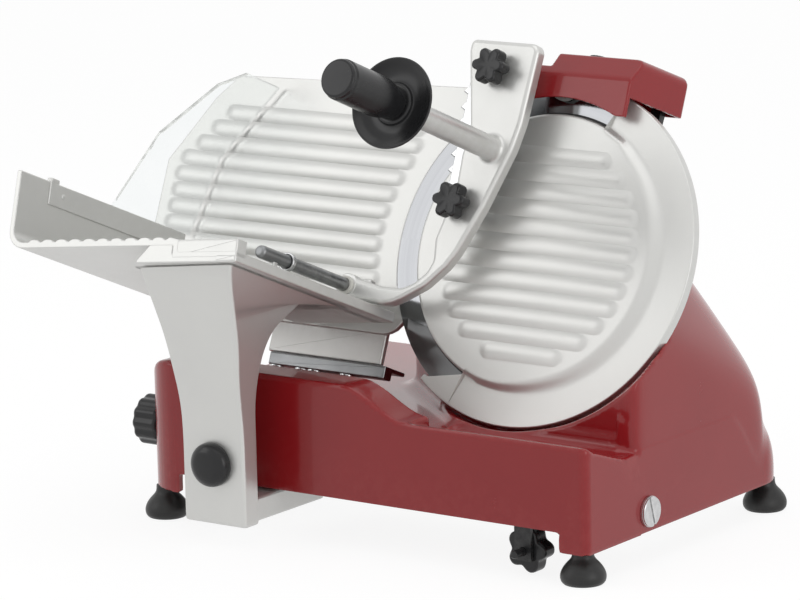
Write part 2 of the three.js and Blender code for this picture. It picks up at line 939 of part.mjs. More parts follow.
// The belt runs round both pulleys: two arcs joined by the straight tangents.
function beltLoop(extra) {
  const reach = Math.hypot(motorX, motorV);
  const heading = Math.atan2(motorV, motorX);
  const lean = Math.acos((bladePulleyRadius - motorPulleyRadius) / reach);
  const turn = Math.PI * 2;
  return [
    ...arc(0, 0, bladePulleyRadius + extra, heading + lean, heading + turn - lean, 20),
    ...arc(motorX, motorV, motorPulleyRadius + extra, heading - lean, heading + lean, 10),
  ];
}

function driveBelt() {
  const hole = new THREE.Path(beltLoop(gap).map(point));
  const belt = prism("z", beltLoop(gap + beltThickness), pulleyBack + gap, pulleyFront - gap, [hole]);
  return mesh("drive_belt", belt, blackRubber);
}

function motor() {
  const body = bar("z", motorRadius, motorFront - motorLength, motorFront, motorX, motorV);
  const hole = bar("z", motorShaftRadius + gap, motorFront - motorLength / 3, motorFront + overrun, motorX, motorV);
  return mesh("motor", cut(body, hole), copper);
}

function motorRotor() {
  const shaft = bar("z", motorShaftRadius, motorFront - motorLength / 3 + gap, pulleyFront, motorX, motorV);
  const pulley = bar("z", motorPulleyRadius, pulleyBack, pulleyFront, motorX, motorV);
  return mesh("motor_rotor", join(shaft, pulley), brightSteel);
}

// The still cover over the middle of the blade, with its raised ribs.
function coverDisc() {
  const top = coverBack + coverRim + coverDome;
  const disc = spun(
    [
      [0, coverBack],
      [coverRadius, coverBack],
      [coverRadius, coverBack + coverRim],
      [coverRadius - coverDome * 2, top - coverDome / 3],
      [coverRadius - coverDome * 4, top],
      [0, top],
    ],
    largeSides,
  );
  const middle = (coverRibs - 1) / 2;
  const ribs = Array.from({ length: coverRibs }, (_, i) => {
    const v = (i - middle) * coverRibPitch;
    const reach = Math.sqrt((coverRadius - coverRibMargin) ** 2 - v ** 2);
    return ridge(coverRibRadius, coverRibProud, -reach, reach).translate(0, v, top);
  });
  return mesh("cover_disc", join(disc, ...ribs), castAluminium);
}

// A long low swelling with round ends, lying along x.
function ridge(radius, proud, from, to) {
  const swelling = new THREE.CapsuleGeometry(radius, to - from - radius * 2, 2, 8);
  swelling.rotateZ(Math.PI / 2).scale(1, 1, proud / radius);
  return swelling.translate((from + to) / 2, 0, 0);
}

function sector(outer, inner, from, to, steps) {
  return [...arc(0, 0, outer, from, to, steps), ...arc(0, 0, inner, to, from, steps)];
}

// The guard over the blade's edge at the right and below: a flat face and a rim behind it.
function ringGuard() {
  const face = prism("z", sector(ringOuter, ringInner, ringStart, ringEnd, 26), coverBack, coverBack + ringFace);
  const rim = prism(
    "z",
    sector(ringOuter, ringOuter - ringWall, ringStart, ringEnd, 26),
    backPlateFront + gap,
    coverBack + ringFace / 2,
  );
  return mesh("ring_guard", join(face, rim), castAluminium);
}

function tieRod() {
  const front = coverBack - gap;
  const rod = bar("z", tieRodRadius, rearSeat - rearKnobDepth / 2, front, 0, 0, tieRodRadius, smallSides);
  return mesh("cover_tie_rod", rod, brightSteel);
}

function rearKnob() {
  const start = rearSeat - gap;
  const outline = lobedOutline(rearKnobRadius, rearKnobRadius / 8, indexLobes);
  const knob = prism("z", outline, start - rearKnobDepth, start);
  const hole = bar("z", tieRodRadius + gap, rearSeat - rearKnobDepth / 2 - gap, start + overrun);
  return mesh("cover_knob", cut(knob, hole), blackPlastic);
}

// The height of the gauge bar's underside above a place on the deck.
function barUnderside(y) {
  const low = new THREE.Vector3(0, barV, 0).applyMatrix4(bladeMatrix);
  return low.z - (y - low.y) * Math.tan(tilt) - gap;
}

function gaugePlate() {
  const back = gaugeFront - gaugeThickness;
  const reach = bladeRadius + gaugeArcGap;
  const top = Math.PI - Math.asin(gaugeTop / reach);
  const low = Math.PI + Math.asin(gaugeCorner * 2 / reach);
  const right = -reach;
  const outline = [
    [gaugeLeft, gaugeBottom + gaugeThickness],
    [gaugeLeft + gaugeThickness, gaugeBottom],
    ...arc(right, gaugeBottom + gaugeCorner, gaugeCorner, -Math.PI / 2, 0, 5),
    ...arc(0, 0, reach, low, top, 24),
    [gaugeTopLeft, gaugeTop - gaugeTopDrop],
    [gaugeTopLeft - gaugeCorner, gaugeTop - gaugeTopDrop - gaugeCorner],
    [gaugeLeft, gaugeShoulder],
  ];
  const plate = prism("z", outline, back, gaugeFront);
  const flangeFront = gaugeFront - gaugeFlangeBack;
  const flange = box(
    gaugeFlangeLeft, right, gaugeFlangeBottom, gaugeBottom + gaugeThickness,
    flangeFront - gaugeThickness, flangeFront,
  );
  const web = box(
    gaugeFlangeLeft, right, gaugeBottom, gaugeBottom + gaugeThickness,
    flangeFront - gaugeThickness, gaugeFront - gaugeThickness / 2,
  );
  const ribs = Array.from({ length: gaugeRibs }, (_, i) => {
    const v = gaugeRibTop - i * gaugeRibPitch;
    const lean = Math.max(0, (v - gaugeShoulder) / (gaugeTop - gaugeTopDrop - gaugeShoulder));
    const from = gaugeLeft + gaugeRibMargin + lean * (gaugeTopLeft - gaugeLeft);
    const chord = Math.sqrt(Math.max(0, reach ** 2 - v ** 2));
    const to = Math.min(-chord, right + gaugeCorner) - gaugeRibInset;
    return ridge(gaugeRibRadius, gaugeRibProud, from, to).translate(0, v, gaugeFront);
  });
  return mesh("gauge_plate", join(plate, flange, web, ...ribs), castAluminium);
}

function gaugeBoltPlaces() {
  const n = gaugeFront - barBack - boltSetback;
  return boltShares.map((share) => [barLeft + barLength * share, n]);
}

function gaugeBar() {
  const front = gaugeFront - barBack;
  const body = box(barLeft, barLeft + barLength, barV, barV + barThickness, front - barDepth, front);
  const bores = gaugeBoltPlaces().map(([x, n]) =>
    bar("y", boltShank + gap, barV - overrun, barV + boltGrip + gap, x, n, boltShank + gap, smallSides),
  );
  return mesh("gauge_support_bar", cut(body, ...bores), darkSteel);
}

function gaugeBolts() {
  return gaugeBoltPlaces().map(([x, n], i) => {
    const top = barV - gap;
    const head = bar("y", boltRadius, top - boltHead, top, x, n, boltRadius, 6);
    const shank = bar("y", boltShank, top - boltHead / 2, barV + boltGrip, x, n, boltShank, smallSides);
    return mesh(`gauge_bolt_${i + 1}`, join(head, shank), brightSteel);
  });
}

// The block under the bar slides on its rail, and its nose rests on the cam.
function gaugeBlock() {
  const back = gaugeBlockY + gaugeBlockDepth;
  const left = gaugeRailX - gaugeBlockWidth / 2;
  const body = prism(
    "x",
    [
      [gaugeBlockY, gaugeBlockLow],
      [back, gaugeBlockLow],
      [back, barUnderside(back)],
      [gaugeBlockY, barUnderside(gaugeBlockY)],
    ],
    left,
    left + gaugeBlockWidth,
  );
  const noseLow = gaugeBlockLow + runningGap * 2;
  const cross = box(camX, gaugeRailX, gaugeBlockY, back, noseLow, noseHigh);
  const tip = indexY + camBase + gap * 3;
  const nose = box(camX, camX + camThickness, tip + noseWidth, back, noseLow, noseHigh);
  const point = box(
    camX, camX + camThickness, tip, back, indexHeight - noseWidth / 2, indexHeight + noseWidth / 2,
  );
  const bore = bar(
    "y", gaugeRailRadius + runningGap / 2, gaugeBlockY - overrun, back + overrun, gaugeRailX, gaugeRailHeight,
  );
  return mesh("gauge_slide_block", cut(joined(body, cross, nose, point), bore), castAluminium);
}

function gaugeRail() {
  const rail = bar(
    "y", gaugeRailRadius, gaugeRailFront, gaugeRailFront + gaugeRailLength, gaugeRailX, gaugeRailHeight,
  );
  return mesh("gauge_slide_rail", rail, brightSteel);
}

// The knob on the left end, and its spindle with the spiral cam.
function indexKnob() {
  const outline = lobedOutline(indexKnobRadius, indexLobeDepth, indexLobes);
  const body = prism("x", outline, -gap - indexKnobDepth, -gap);
  const bore = bar("x", indexShaftRadius + gap, -indexKnobDepth / 2, overrun);
  return mesh("index_knob", cut(body, bore).translate(0, indexY, indexHeight), blackPlastic);
}

function indexSpindle() {
  const steps = 36;
  const full = Math.PI * 2;
  const outline = Array.from({ length: steps }, (_, i) => {
    const turn = (full * i) / steps;
    const rise = Math.min(1, turn / camTurn);
    const fall = THREE.MathUtils.clamp((camTurn + (full - camTurn) / 2 - turn) / (full / steps), 0, 1);
    const reach = camBase + gaugeTravel * Math.min(rise, fall);
    return [reach * Math.cos(-turn), reach * Math.sin(-turn)];
  });
  const cam = prism("x", outline.reverse(), camX, camX + camThickness);
  const shaft = bar("x", indexShaftRadius, gap - indexKnobDepth / 2, camX + camThickness);
  return mesh("index_spindle", join(cam, shaft).translate(0, indexY, indexHeight), darkSteel);
}

function slideBlock() {
  const middle = legLeft + legWidth / 2;
  const reach = rodRadius + blockWall;
  const x0 = middle - blockLength / 2;
  const x1 = middle + blockLength / 2;
  const body = box(x0, x1, rodY - reach, rodY + reach, rodHeight - reach, rodHeight + reach);
  const bore = bar("x", rodRadius + runningGap, x0 - overrun, x1 + overrun, rodY, rodHeight);
  return mesh("slide_block", cut(body, bore), castAluminium);
}

function carriageArm() {
  const arm = box(
    legLeft + armInset,
    legLeft + legWidth - armInset,
    -legFront + legThickness + gap,
    rodY - rodRadius - blockWall - gap,
    armBottom,
    armBottom + armThickness,
  );
  return mesh("carriage_arm", arm, castAluminium);
}

function guideShoe() {
  const middle = legLeft + legWidth / 2;
  const low = armBottom + armThickness + gap;
  const shoe = box(
    middle - shoeLength / 2, middle + shoeLength / 2, railY, railY + railWidth, low, railHeight - gap,
  );
  return mesh("guide_shoe", shoe, whiteNylon);
}

// The leg curves forward and widens to the right as it rises to the tray.
function carriageLeg() {
  const side = [
    ...legFrontShares.map(([y, z]) => [-legFront - legLean * y, legHeight * z]),
    ...legBackShares.map(([y, z]) => [-legFront + legThickness + legSweep * y, legHeight * z]),
  ];
  const edge = legSideShares.map(([x, z]) => [legLeft + legWidth + legFlare * x, legHeight * z]);
  const front = [[legLeft, legHeight], [legLeft, 0], [legLeft + legWidth, 0], ...edge];
  const low = -legFront - legLean - overrun;
  const whole = keep(
    prism("x", side.reverse(), 0, baseLength),
    prism("y", front, low, legSweep + overrun),
  );
  const above = fromTray(
    box(-trayWidth, trayWidth, -padDrop - gap, trayWidth, -trayWidth, trayClear + trayDepth + trayWidth),
  );
  return mesh("carriage_leg", cut(whole, above), castAluminium);
}

function legCap() {
  const middle = legLeft + legWidth / 2;
  const dome = spun([
    [0, 0],
    [capRadius, 0],
    [capRadius, capDepth / 3],
    [capRadius * Math.cos(Math.PI / 8), (capDepth * 2) / 3],
    [capRadius / 2, capDepth - gap],
    [0, capDepth],
  ]);
  dome.rotateX(Math.PI / 2).translate(middle, -legFront - gap, capHeight);
  return mesh("leg_cap", dome, blackPlastic);
}

// A long half-round swelling that runs along the depth of the tray.
function floorRib(a) {
  const rib = bar("z", floorRibRadius, trayClear, trayClear + trayDepth, 0, 0, floorRibRadius, smallSides);
  return rib.scale(1, floorRibHeight / floorRibRadius, 1).translate(a, 0, 0);
}

// Where the pusher's rod passes, seen from the tray.
function rodOnTray() {
  const place = new THREE.Vector3(hubX, hubV, 0).applyMatrix4(trayMatrix.clone().invert());
  return [place.x, place.y];
}

function tray() {
  const front = trayClear + trayDepth;
  const left = -trayWidth;
  const step = -channelWidth - floorThickness;
  const channelLow = -channelDrop - floorThickness;
  const outer = trayCorner + trayWall;
  const half = Math.PI;
  const section = [
    [-channelWidth, 0],
    [left + trayWall + trayCorner, 0],
    ...arc(left + trayWall + trayCorner, trayCorner, trayCorner, half * 1.5, half, 5),
    [left + trayWall, trayWallHeight],
    [left, trayWallHeight],
    ...arc(left + outer, outer - floorThickness, outer, half, half * 1.5, 5),
    [step, -floorThickness],
    [step, channelLow],
    [0, channelLow],
    [0, -channelDrop],
    [-channelWidth, -channelDrop],
  ];
  const floor = prism("z", section, trayClear, front);
  const lip = box(step, 0, channelLow, 0, front - lipDepth, front);
  const ledge = box(
    left + trayWall / 2, left + trayWall + ledgeDepth, ledgeHeight - ledgeThickness, ledgeHeight,
    trayClear, front - ledgeInset,
  );
  const pad = prism(
    "z",
    [
      [-padLeft, -padDrop],
      [-beamWidth, -padDrop],
      [-beamWidth, channelLow + floorThickness / 2],
      [step, channelLow + floorThickness / 2],
      [step, -floorThickness / 2],
      [-padLeft + padFlare, -floorThickness / 2],
    ],
    trayClear,
    front,
  );
  const beam = box(-beamWidth * 2, 0, -padDrop, channelLow + floorThickness / 2, trayClear, front);
  const [a, b] = rodOnTray();
  const side = pusherRodRadius + postWall;
  const postLow = -channelDrop - floorThickness / 2;
  const rodEnd = pusherRodStart + pusherRodLength;
  const posts = [
    box(a - side, a + side, postLow, b + side, trayClear, trayClear + postLength + gap),
    box(
      a - saddleWidth / 2, a + saddleWidth / 2, postLow, b - pusherRodRadius / 2,
      saddlePlace, saddlePlace + saddleWidth,
    ),
  ];
  const bore = bar("z", pusherRodRadius + gap, pusherRodStart - gap, rodEnd + gap, a, b);
  const ribs = Array.from({ length: floorRibs }, (_, i) => floorRib(left + floorRibStart + i * floorRibPitch));
  return mesh("product_tray", cut(joined(floor, lip, ledge, pad, beam, ...posts, ...ribs), bore), castAluminium);
}

function trayGuard() {
  const base = trayWallHeight + gap;
  const left = -trayWidth + runningGap;
  const bend = [left + guardBendLean, base + guardBendHeight];
  const top = [left + guardTopLean, base + guardTopHeight];
  const sheet = prism(
    "z",
    [
      [left, base],
      [left + guardThickness, base],
      [bend[0] + guardThickness, bend[1] - guardThickness / 3],
      [top[0] + guardThickness / 2, top[1] - guardThickness / 2],
      [top[0] - guardThickness / 2, top[1] + guardThickness / 2],
      bend,
    ],
    guardStart,
    guardFootDepth,
  );
  const high = top[1] + overrun;
  const off = prism(
    "x",
    [
      [base - overrun, guardFootDepth],
      [base, guardFootDepth],
      [bend[1], guardBendDepth],
      [base + guardCutHeight, guardCutDepth],
      [top[1], guardTopDepth],
      [high, guardTopDepth],
      [high, guardFootDepth + overrun],
      [base - overrun, guardFootDepth + overrun],
    ],
    left - overrun,
    0,
  );
  return mesh("tray_guard", cut(sheet, off), clearSheet);
}

function pusherRod() {
  const end = pusherRodStart + pusherRodLength;
  return mesh("pusher_rod", bar("z", pusherRodRadius, pusherRodStart, end, hubX, hubV), brightSteel);
}

function rodCollar() {
  const inner = pusherRodRadius + gap;
  const collar = hoop("rod_collar", collarRadius, inner, collarPlace, collarPlace + collarWidth, darkSteel);
  collar.geometry.translate(hubX, hubV, 0);
  return collar;
}

const pusherBack = pusherFront - pusherThickness;
const bushRadius = pusherRodRadius + runningGap / 2 + bushWall;

function pusherBush() {
  const low = pusherBack - (bushLength - pusherThickness) / 2;
  const bush = hoop(
    "pusher_bush", bushRadius, pusherRodRadius + runningGap / 2, low, low + bushLength, whiteNylon,
  );
  bush.geometry.translate(hubX, hubV, 0);
  return bush;
}

function pusherArm() {
  const place = ([x, v]) => [hubX + pusherReach * x, hubV + pusherRise * v];
  const outline = [...armLeftShares.map(place), ...armRightShares.map(place)];
  const body = prism("z", outline, pusherBack, pusherFront);
  const hub = bar("z", hubRadius, pusherBack, pusherFront, hubX, hubV);
  const stars = [[upperStarX, upperStarV], [lowerStarX, lowerStarV]];
  const holes = stars.map(([x, v]) =>
    bar("z", studRadius + gap, pusherBack - overrun, pusherFront + overrun, x, v, studRadius + gap, smallSides),
  );
  const spigot = bar("z", handleSpigot + gap, pusherBack - overrun, pusherFront + overrun, handleX, handleV);
  const bore = bar("z", bushRadius + gap, pusherBack - overrun, pusherFront + overrun, hubX, hubV);
  return mesh("pusher_arm", cut(joined(body, hub), ...holes, spigot, bore), castAluminium);
}

// The toothed plate on the back of the arm holds the food.
function toothedPlate() {
  const front = pusherBack - gap;
  const back = front - plateThickness;
  const outline = plateShares.map(([x, v]) => [plateX + plateWidth * x, plateLow + plateLength * v]);
  const body = prism("z", outline, back, front);
  const pitch = plateLength / plateTeeth;
  const teeth = Array.from({ length: plateTeeth }, (_, i) => {
    const low = plateLow + pitch * i;
    return prism(
      "z",
      [
        [plateX - toothSize, low + pitch / 3],
        [plateX + toothSize / 2, low + gap],
        [plateX + toothSize / 2, low + pitch - gap],
      ],
      back,
      front,
    );
  });
  const stars = [[upperStarX, upperStarV], [lowerStarX, lowerStarV]];
  const holes = stars.map(([x, v]) =>
    bar("z", studRadius + gap, back - overrun, front + overrun, x, v, studRadius + gap, smallSides),
  );
  return mesh("toothed_plate", cut(joined(body, ...teeth), ...holes), brightSteel);
}

function starKnob(name, x, v) {
  const start = pusherFront + gap;
  const outline = lobedOutline(starRadius, starRadius / 3, starLobes);
  const star = prism("z", outline, start + starHub / 2, start + starHub / 2 + starDepth);
  const hub = bar("z", starHub, start, start + starHub);
  const stud = bar(
    "z", studRadius, pusherBack - plateThickness, start + starHub, 0, 0, studRadius, smallSides,
  );
  return mesh(name, join(star, hub, stud).translate(x, v, 0), blackPlastic);
}

function handleRod() {
  const start = pusherFront + gap;
  const rod = bar("z", handleRadius, start, pusherFront + handleLength);
  const spigot = bar("z", handleSpigot, pusherBack, start + overrun);
  return mesh("handle_rod", join(rod, spigot).translate(handleX, handleV, 0), brightSteel);
}

function handleDisc() {
  const inner = handleRadius + gap;
  const place = pusherFront + discPlace;
  const dish = place + discDish;
  const disc = spun(
    [
      [inner, place],
      [discRadius * 0.7, place],
      [discRadius, dish],
      [discRadius, dish + discThickness / 2],
      [discRadius * 0.66, place + discThickness],
      [inner, place + discThickness],
      [inner, place],
    ],
    smallSides * 2,
  );
  return mesh("handle_disc", disc.translate(handleX, handleV, 0), blackPlastic);
}

function handleGrip() {
  const end = pusherFront + handleLength + gripCap;
  const start = end - gripLength;
  const inner = handleRadius + gap;
  const grip = spun([
    [0, pusherFront + handleLength + gap],
    [inner, pusherFront + handleLength + gap],
    [inner, start],
    [gripNeck, start],
    [gripNeck, start + gripNeck / 2],
    [gripRadius, start + gripRadius],
    [gripRadius, end - gripRadius / 3],
    [gripRadius - gripRadius / 4, end],
    [0, end],
  ]);
  return mesh("handle_grip", grip.translate(handleX, handleV, 0), blackPlastic);
}

// The red cover of the sharpener, open below, over the top of the blade.
function sharpenerCover(inset) {
  const left = sharpenerLeft + inset;
  const right = sharpenerLeft + sharpenerLength - inset;
  const high = sharpenerTop - inset;
  const front = sharpenerFront - inset;
  const back = -sharpenerBack + inset;
  const apron = sharpenerLow - sharpenerApron;
  const foot = inset ? apron - overrun * 3 : apron;
  const low = inset ? foot : sharpenerLow;
  const outline = [
    [left, foot],
    [right, foot],
    [right, sharpenerFold - inset / 2],
    [right - sharpenerRound, high],
    [left + sharpenerWall * 4, high],
    [left, high - sharpenerWall * 4],
  ];
  const side = [
    [foot, front],
    [foot, front - sharpenerWall],
    [low, front - sharpenerWall],
    [low, back],
    [high, back],
    [high, front - softCorner / 3],
    [sharpenerFold - inset / 2, front],
  ];
  return keep(
    prism("z", outline, back, front),
    prism("x", side.map(([v, n]) => [v, n]).reverse(), left - overrun, right + overrun),
  );
}

function sharpenerBody() {
  const ringRoom = bar(
    "z", ringOuter + pocketGap, backPlateFront, coverBack + ringFace + runningGap * 2, 0, 0,
    ringOuter + pocketGap, largeSides,
  );
  const plateRoom = bar(
    "z", backPlateRadius + runningGap * 2, backPlateFront - backPlateDepth - gap * 2, backPlateFront + overrun,
    0, 0, backPlateRadius + runningGap * 2, largeSides,
  );
  const lowEdge = bar("z", sharpenerEdge, 0, sharpenerFront + overrun, 0, 0, sharpenerEdge, largeSides);
  const webFront = -bladeThickness - stoneGap * 2 - stoneDepth - runningGap * 4;
  const web = box(
    rearStoneX - stoneRadius,
    rearStoneX + stoneRadius,
    backPlateRadius + runningGap * 3,
    sharpenerTop - sharpenerWall / 2,
    webFront - sharpenerWall,
    webFront,
  );
  const inner = sharpenerFront - sharpenerWall;
  const boss = bar("z", stoneSpindle * 2, inner - sharpenerWall, inner + sharpenerWall / 2, frontStoneX, stoneV);
  const shell = carved(sharpenerCover(0), sharpenerCover(sharpenerWall));
  const bores = [
    bar("z", stoneSpindle + gap, inner - overrun, inner + sharpenerWall / 2, frontStoneX, stoneV),
    bar("z", stoneSpindle + gap, webFront - overrun, webFront + overrun, rearStoneX, stoneV),
    bar("z", stoneSpindle + gap, -sharpenerBack - overrun, sharpenerWall - sharpenerBack + overrun, latchX, latchV),
    bar("y", studRadius + gap, sharpenerTop - overrun, sharpenerTop + overrun, screwX, screwN),
  ];
  return mesh("sharpener_body", cut(joined(shell, web, boss), ringRoom, plateRoom, lowEdge, ...bores), red);
}

function sharpenerScrew() {
  const low = sharpenerTop - screwLength + gap;
  const head = bar("y", screwHead, sharpenerTop + gap, sharpenerTop + gap + screwHeadDepth, screwX, screwN);
  const shank = bar(
    "y", studRadius, low, sharpenerTop + screwHeadDepth / 2, screwX, screwN, studRadius, smallSides,
  );
  return mesh("sharpener_screw", join(head, shank), blackPlastic);
}

function stones() {
  const inner = sharpenerFront - sharpenerWall;
  const webFront = -bladeThickness - stoneGap * 2 - stoneDepth - runningGap * 4;
  const front = join(
    bar("z", stoneRadius, stoneGap, stoneGap + stoneDepth, frontStoneX, stoneV),
    bar("z", stoneSpindle, stoneGap, inner + sharpenerWall / 2 - gap, frontStoneX, stoneV),
  );
  const back = -bladeThickness - stoneGap;
  const rear = join(
    bar("z", stoneRadius, back - stoneDepth, back, rearStoneX, stoneV),
    bar("z", stoneSpindle, webFront - sharpenerWall + gap, back, rearStoneX, stoneV),
  );
  return [mesh("deburring_stone", front, grit), mesh("grinding_stone", rear, grit)];
}

// The lever that swings the stones, on its pin in the cover's rear wall near the right end.
function stoneLever() {
  const back = sharpenerWall - sharpenerBack + gap;
  const front = back + latchDepth;
  const low = latchV - latchLength;
  const outline = [
    [latchX - latchSwell, latchV],
    [latchX - latchWidth / 3, low],
    [latchX + latchWidth / 3, low],
    [latchX + latchSwell, latchV],
    ...arc(latchX, latchV, latchSwell, 0, Math.PI, 8).slice(1, -1),
  ];
  const pin = bar("z", stoneSpindle, -sharpenerBack, back + latchDepth / 2, latchX, latchV);
  return mesh("stone_lever", join(prism("z", outline, back, front), pin), blackPlastic);
}

const switches = switchUnit();
const slicer = group(
  mesh("base_casting", baseCasting(), red),
  bottomPlate(),
  ...feet(),
  slideRod(),
  rodPlug("rod_plug_left", 0, -1),
  rodPlug("rod_plug_right", baseLength, 1),
  guideRail(),
  lockBracket(),
  lockKnob(),
  switches.housing,
  switches.start,
  switches.stop,
  cordGland(),
  gaugeRail(),
  gaugeBlock(),
  indexKnob(),
  indexSpindle(),
  slideBlock(),
  carriageArm(),
  guideShoe(),
  carriageLeg(),
  legCap(),
  bladeFrame(
    blade(),
    bladeSpindle(),
    bearing("bearing_front", backPlateFront - bearingDepth, backPlateFront - gap),
    bearing("bearing_rear", bossEnd + gap, bossEnd + bearingDepth),
    hoop("blade_pulley", bladePulleyRadius, spindleRadius + gap, pulleyBack, pulleyFront, castAluminium),
    driveBelt(),
    motor(),
    motorRotor(),
    ringGuard(),
    coverDisc(),
    tieRod(),
    rearKnob(),
    sharpenerBody(),
    sharpenerScrew(),
    ...stones(),
    stoneLever(),
    gaugePlate(),
    gaugeBar(),
    ...gaugeBolts(),
    trayFrame(tray(), trayGuard()),
    pusherRod(),
    rodCollar(),
    pusherBush(),
    pusherArm(),
    toothedPlate(),
    starKnob("star_knob_upper", upperStarX, upperStarV),
    starKnob("star_knob_lower", lowerStarX, lowerStarV),
    handleRod(),
    handleDisc(),
    handleGrip(),
  ),
);

// The origin goes to the floor under the middle of the whole slicer.
const bounds = new THREE.Box3().setFromObject(slicer, true);
const middle = bounds.getCenter(new THREE.Vector3());
slicer.position.set(-middle.x, -middle.y, 0);

export default slicer;
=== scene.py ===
# A table-top meat slicer: a glossy red casting, satin aluminium, a steel blade and black knobs.
import json
import math

import bmesh
import bpy
import numpy as np
from mathutils import Matrix, Vector


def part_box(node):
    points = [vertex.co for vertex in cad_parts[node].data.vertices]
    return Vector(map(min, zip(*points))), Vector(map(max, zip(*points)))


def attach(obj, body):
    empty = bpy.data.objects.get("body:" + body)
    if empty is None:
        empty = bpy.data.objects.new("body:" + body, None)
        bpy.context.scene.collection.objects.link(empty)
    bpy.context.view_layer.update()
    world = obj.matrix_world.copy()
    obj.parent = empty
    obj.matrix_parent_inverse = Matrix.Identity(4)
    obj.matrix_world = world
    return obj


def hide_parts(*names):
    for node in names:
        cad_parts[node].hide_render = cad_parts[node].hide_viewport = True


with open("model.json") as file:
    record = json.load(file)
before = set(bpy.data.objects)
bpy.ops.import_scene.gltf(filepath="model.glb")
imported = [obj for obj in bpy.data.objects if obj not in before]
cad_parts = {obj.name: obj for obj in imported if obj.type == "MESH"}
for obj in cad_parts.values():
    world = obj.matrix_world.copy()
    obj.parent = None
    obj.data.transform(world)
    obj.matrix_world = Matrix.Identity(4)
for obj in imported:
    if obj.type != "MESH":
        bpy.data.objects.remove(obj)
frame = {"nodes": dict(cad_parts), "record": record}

scene = bpy.context.scene
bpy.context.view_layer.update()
mm = 0.001

# Places are written in millimetres in one of three frames: an origin and three axes as rows.
places = {
    "skirtBottom": 24.5,  # the casting's lowest edge above the floor
    "bladeCentre": (283, 126.5, 208),
    "bladeTilt": math.radians(22.8),
    "trayCorner": (-111, -49, 0),
    "trayRoll": math.radians(6.3),
}


def frameOn(parent, place, axes):
    origin, basis = parent
    return origin + np.array(place, float) @ basis, np.array(axes, float) @ basis


def threeFrames():
    low = np.array(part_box("base_casting")[0]) / mm
    lean, turn = places["bladeTilt"], places["trayRoll"]
    base = (low - (0, 0, places["skirtBottom"]), np.eye(3))
    blade = frameOn(
        base,
        places["bladeCentre"],
        [[1, 0, 0], [0, math.sin(lean), math.cos(lean)], [0, -math.cos(lean), math.sin(lean)]],
    )
    tray = frameOn(
        blade,
        places["trayCorner"],
        [[math.cos(turn), math.sin(turn), 0], [-math.sin(turn), math.cos(turn), 0], [0, 0, 1]],
    )
    return base, blade, tray


baseFrame, bladeFrame, trayFrame = threeFrames()


# How surfaces are worked out, from a direction of length 1 to a whole mesh.
def unit(vector):
    return vector / max(np.linalg.norm(vector), 1e-12)


# Each corner of an outline becomes an arc that touches both of its sides.
def rounded(corners, radius, steps=5, closed=True):
    points = np.asarray(corners, float)
    radii = np.broadcast_to(np.asarray(radius, float), len(points))
    result = []
    for i, corner in enumerate(points):
        ends = not closed and i in (0, len(points) - 1)
        before, after = points[i - 1] - corner, points[(i + 1) % len(points)] - corner
        a, b = unit(before), unit(after)
        half = math.acos(float(np.clip(a @ b, -1, 1))) / 2
        if ends or radii[i] <= 0 or half > math.pi / 2 - 0.02:
            result.append(corner[None])
            continue
        reach = min(radii[i] / math.tan(half), 0.49 * np.linalg.norm(before), 0.49 * np.linalg.norm(after))
        centre = corner + unit(a + b) * reach / math.cos(half)
        angle = math.pi - 2 * half
        share = np.linspace(0, 1, steps + 1)[:, None]
        arc = np.sin((1 - share) * angle) * (corner + a * reach - centre)
        arc = (arc + np.sin(share * angle) * (corner + b * reach - centre)) / math.sin(angle)
        result.append(centre + arc)
    return np.concatenate(result)


# A smooth curve through points: each stretch is a cubic whose slopes come from its neighbours.
def flowing(points, steps=8):
    p = np.asarray(points, float)
    ends = np.concatenate([[2 * p[0] - p[1]], p, [2 * p[-1] - p[-2]]])
    a, b, c, d = ends[:-3, None], ends[1:-2, None], ends[2:-1, None], ends[3:, None]
    t = np.linspace(0, 1, steps, endpoint=False)[None, :, None]
    curve = 2 * b + (c - a) * t + (2 * a - 5 * b + 4 * c - d) * t**2 + (3 * b - a - 3 * c + d) * t**3
    return np.concatenate([curve.reshape(-1, p.shape[1]) / 2, p[-1:]])


# An outline drawn in: each point moves along the mean of its sides' normals.
def drawnIn(outline, distance):
    p = np.asarray(outline, float)
    area = np.sum(p[:, 0] * np.roll(p[:, 1], -1) - np.roll(p[:, 0], -1) * p[:, 1])
    side = np.roll(p, -1, 0) - p
    side /= np.maximum(np.linalg.norm(side, axis=1, keepdims=True), 1e-9)
    normal = np.stack([-side[:, 1], side[:, 0]], 1) * np.sign(area)
    mean = normal + np.roll(normal, 1, 0)
    mean /= np.maximum(np.linalg.norm(mean, axis=1, keepdims=True), 1e-9)
    spread = np.maximum(np.sum(mean * normal, axis=1, keepdims=True), 0.5)
    return p + mean * distance / spread


# Rises from 0 to 1 with level ends: 3 t^2 - 2 t^3.
def smoothStep(t):
    t = np.clip(t, 0, 1)
    return t * t * (3 - 2 * t)


# A quad between neighbouring rows and columns; rows, columns or both may close on themselves.
def gridFaces(rows, columns, closeRows=False, closeColumns=True):
    i = np.arange(rows if closeRows else rows - 1)[:, None]
    j = np.arange(columns if closeColumns else columns - 1)[None]
    down, aside = (i + 1) % rows, (j + 1) % columns
    corners = [i * columns + j, down * columns + j, down * columns + aside, i * columns + aside]
    return np.stack(np.broadcast_arrays(*corners), -1).reshape(-1, 4).tolist()


# The quads round a stack of loops, with a face over the first loop and one over the last.
def tubeFaces(loops, count):
    last = count * (loops - 1)
    return [*gridFaces(loops, count), list(range(count))[::-1], list(range(last, last + count))]


# Points of a plane, all given the same third place.
def raised(points, height):
    return np.column_stack([points, np.full(len(points), height)])


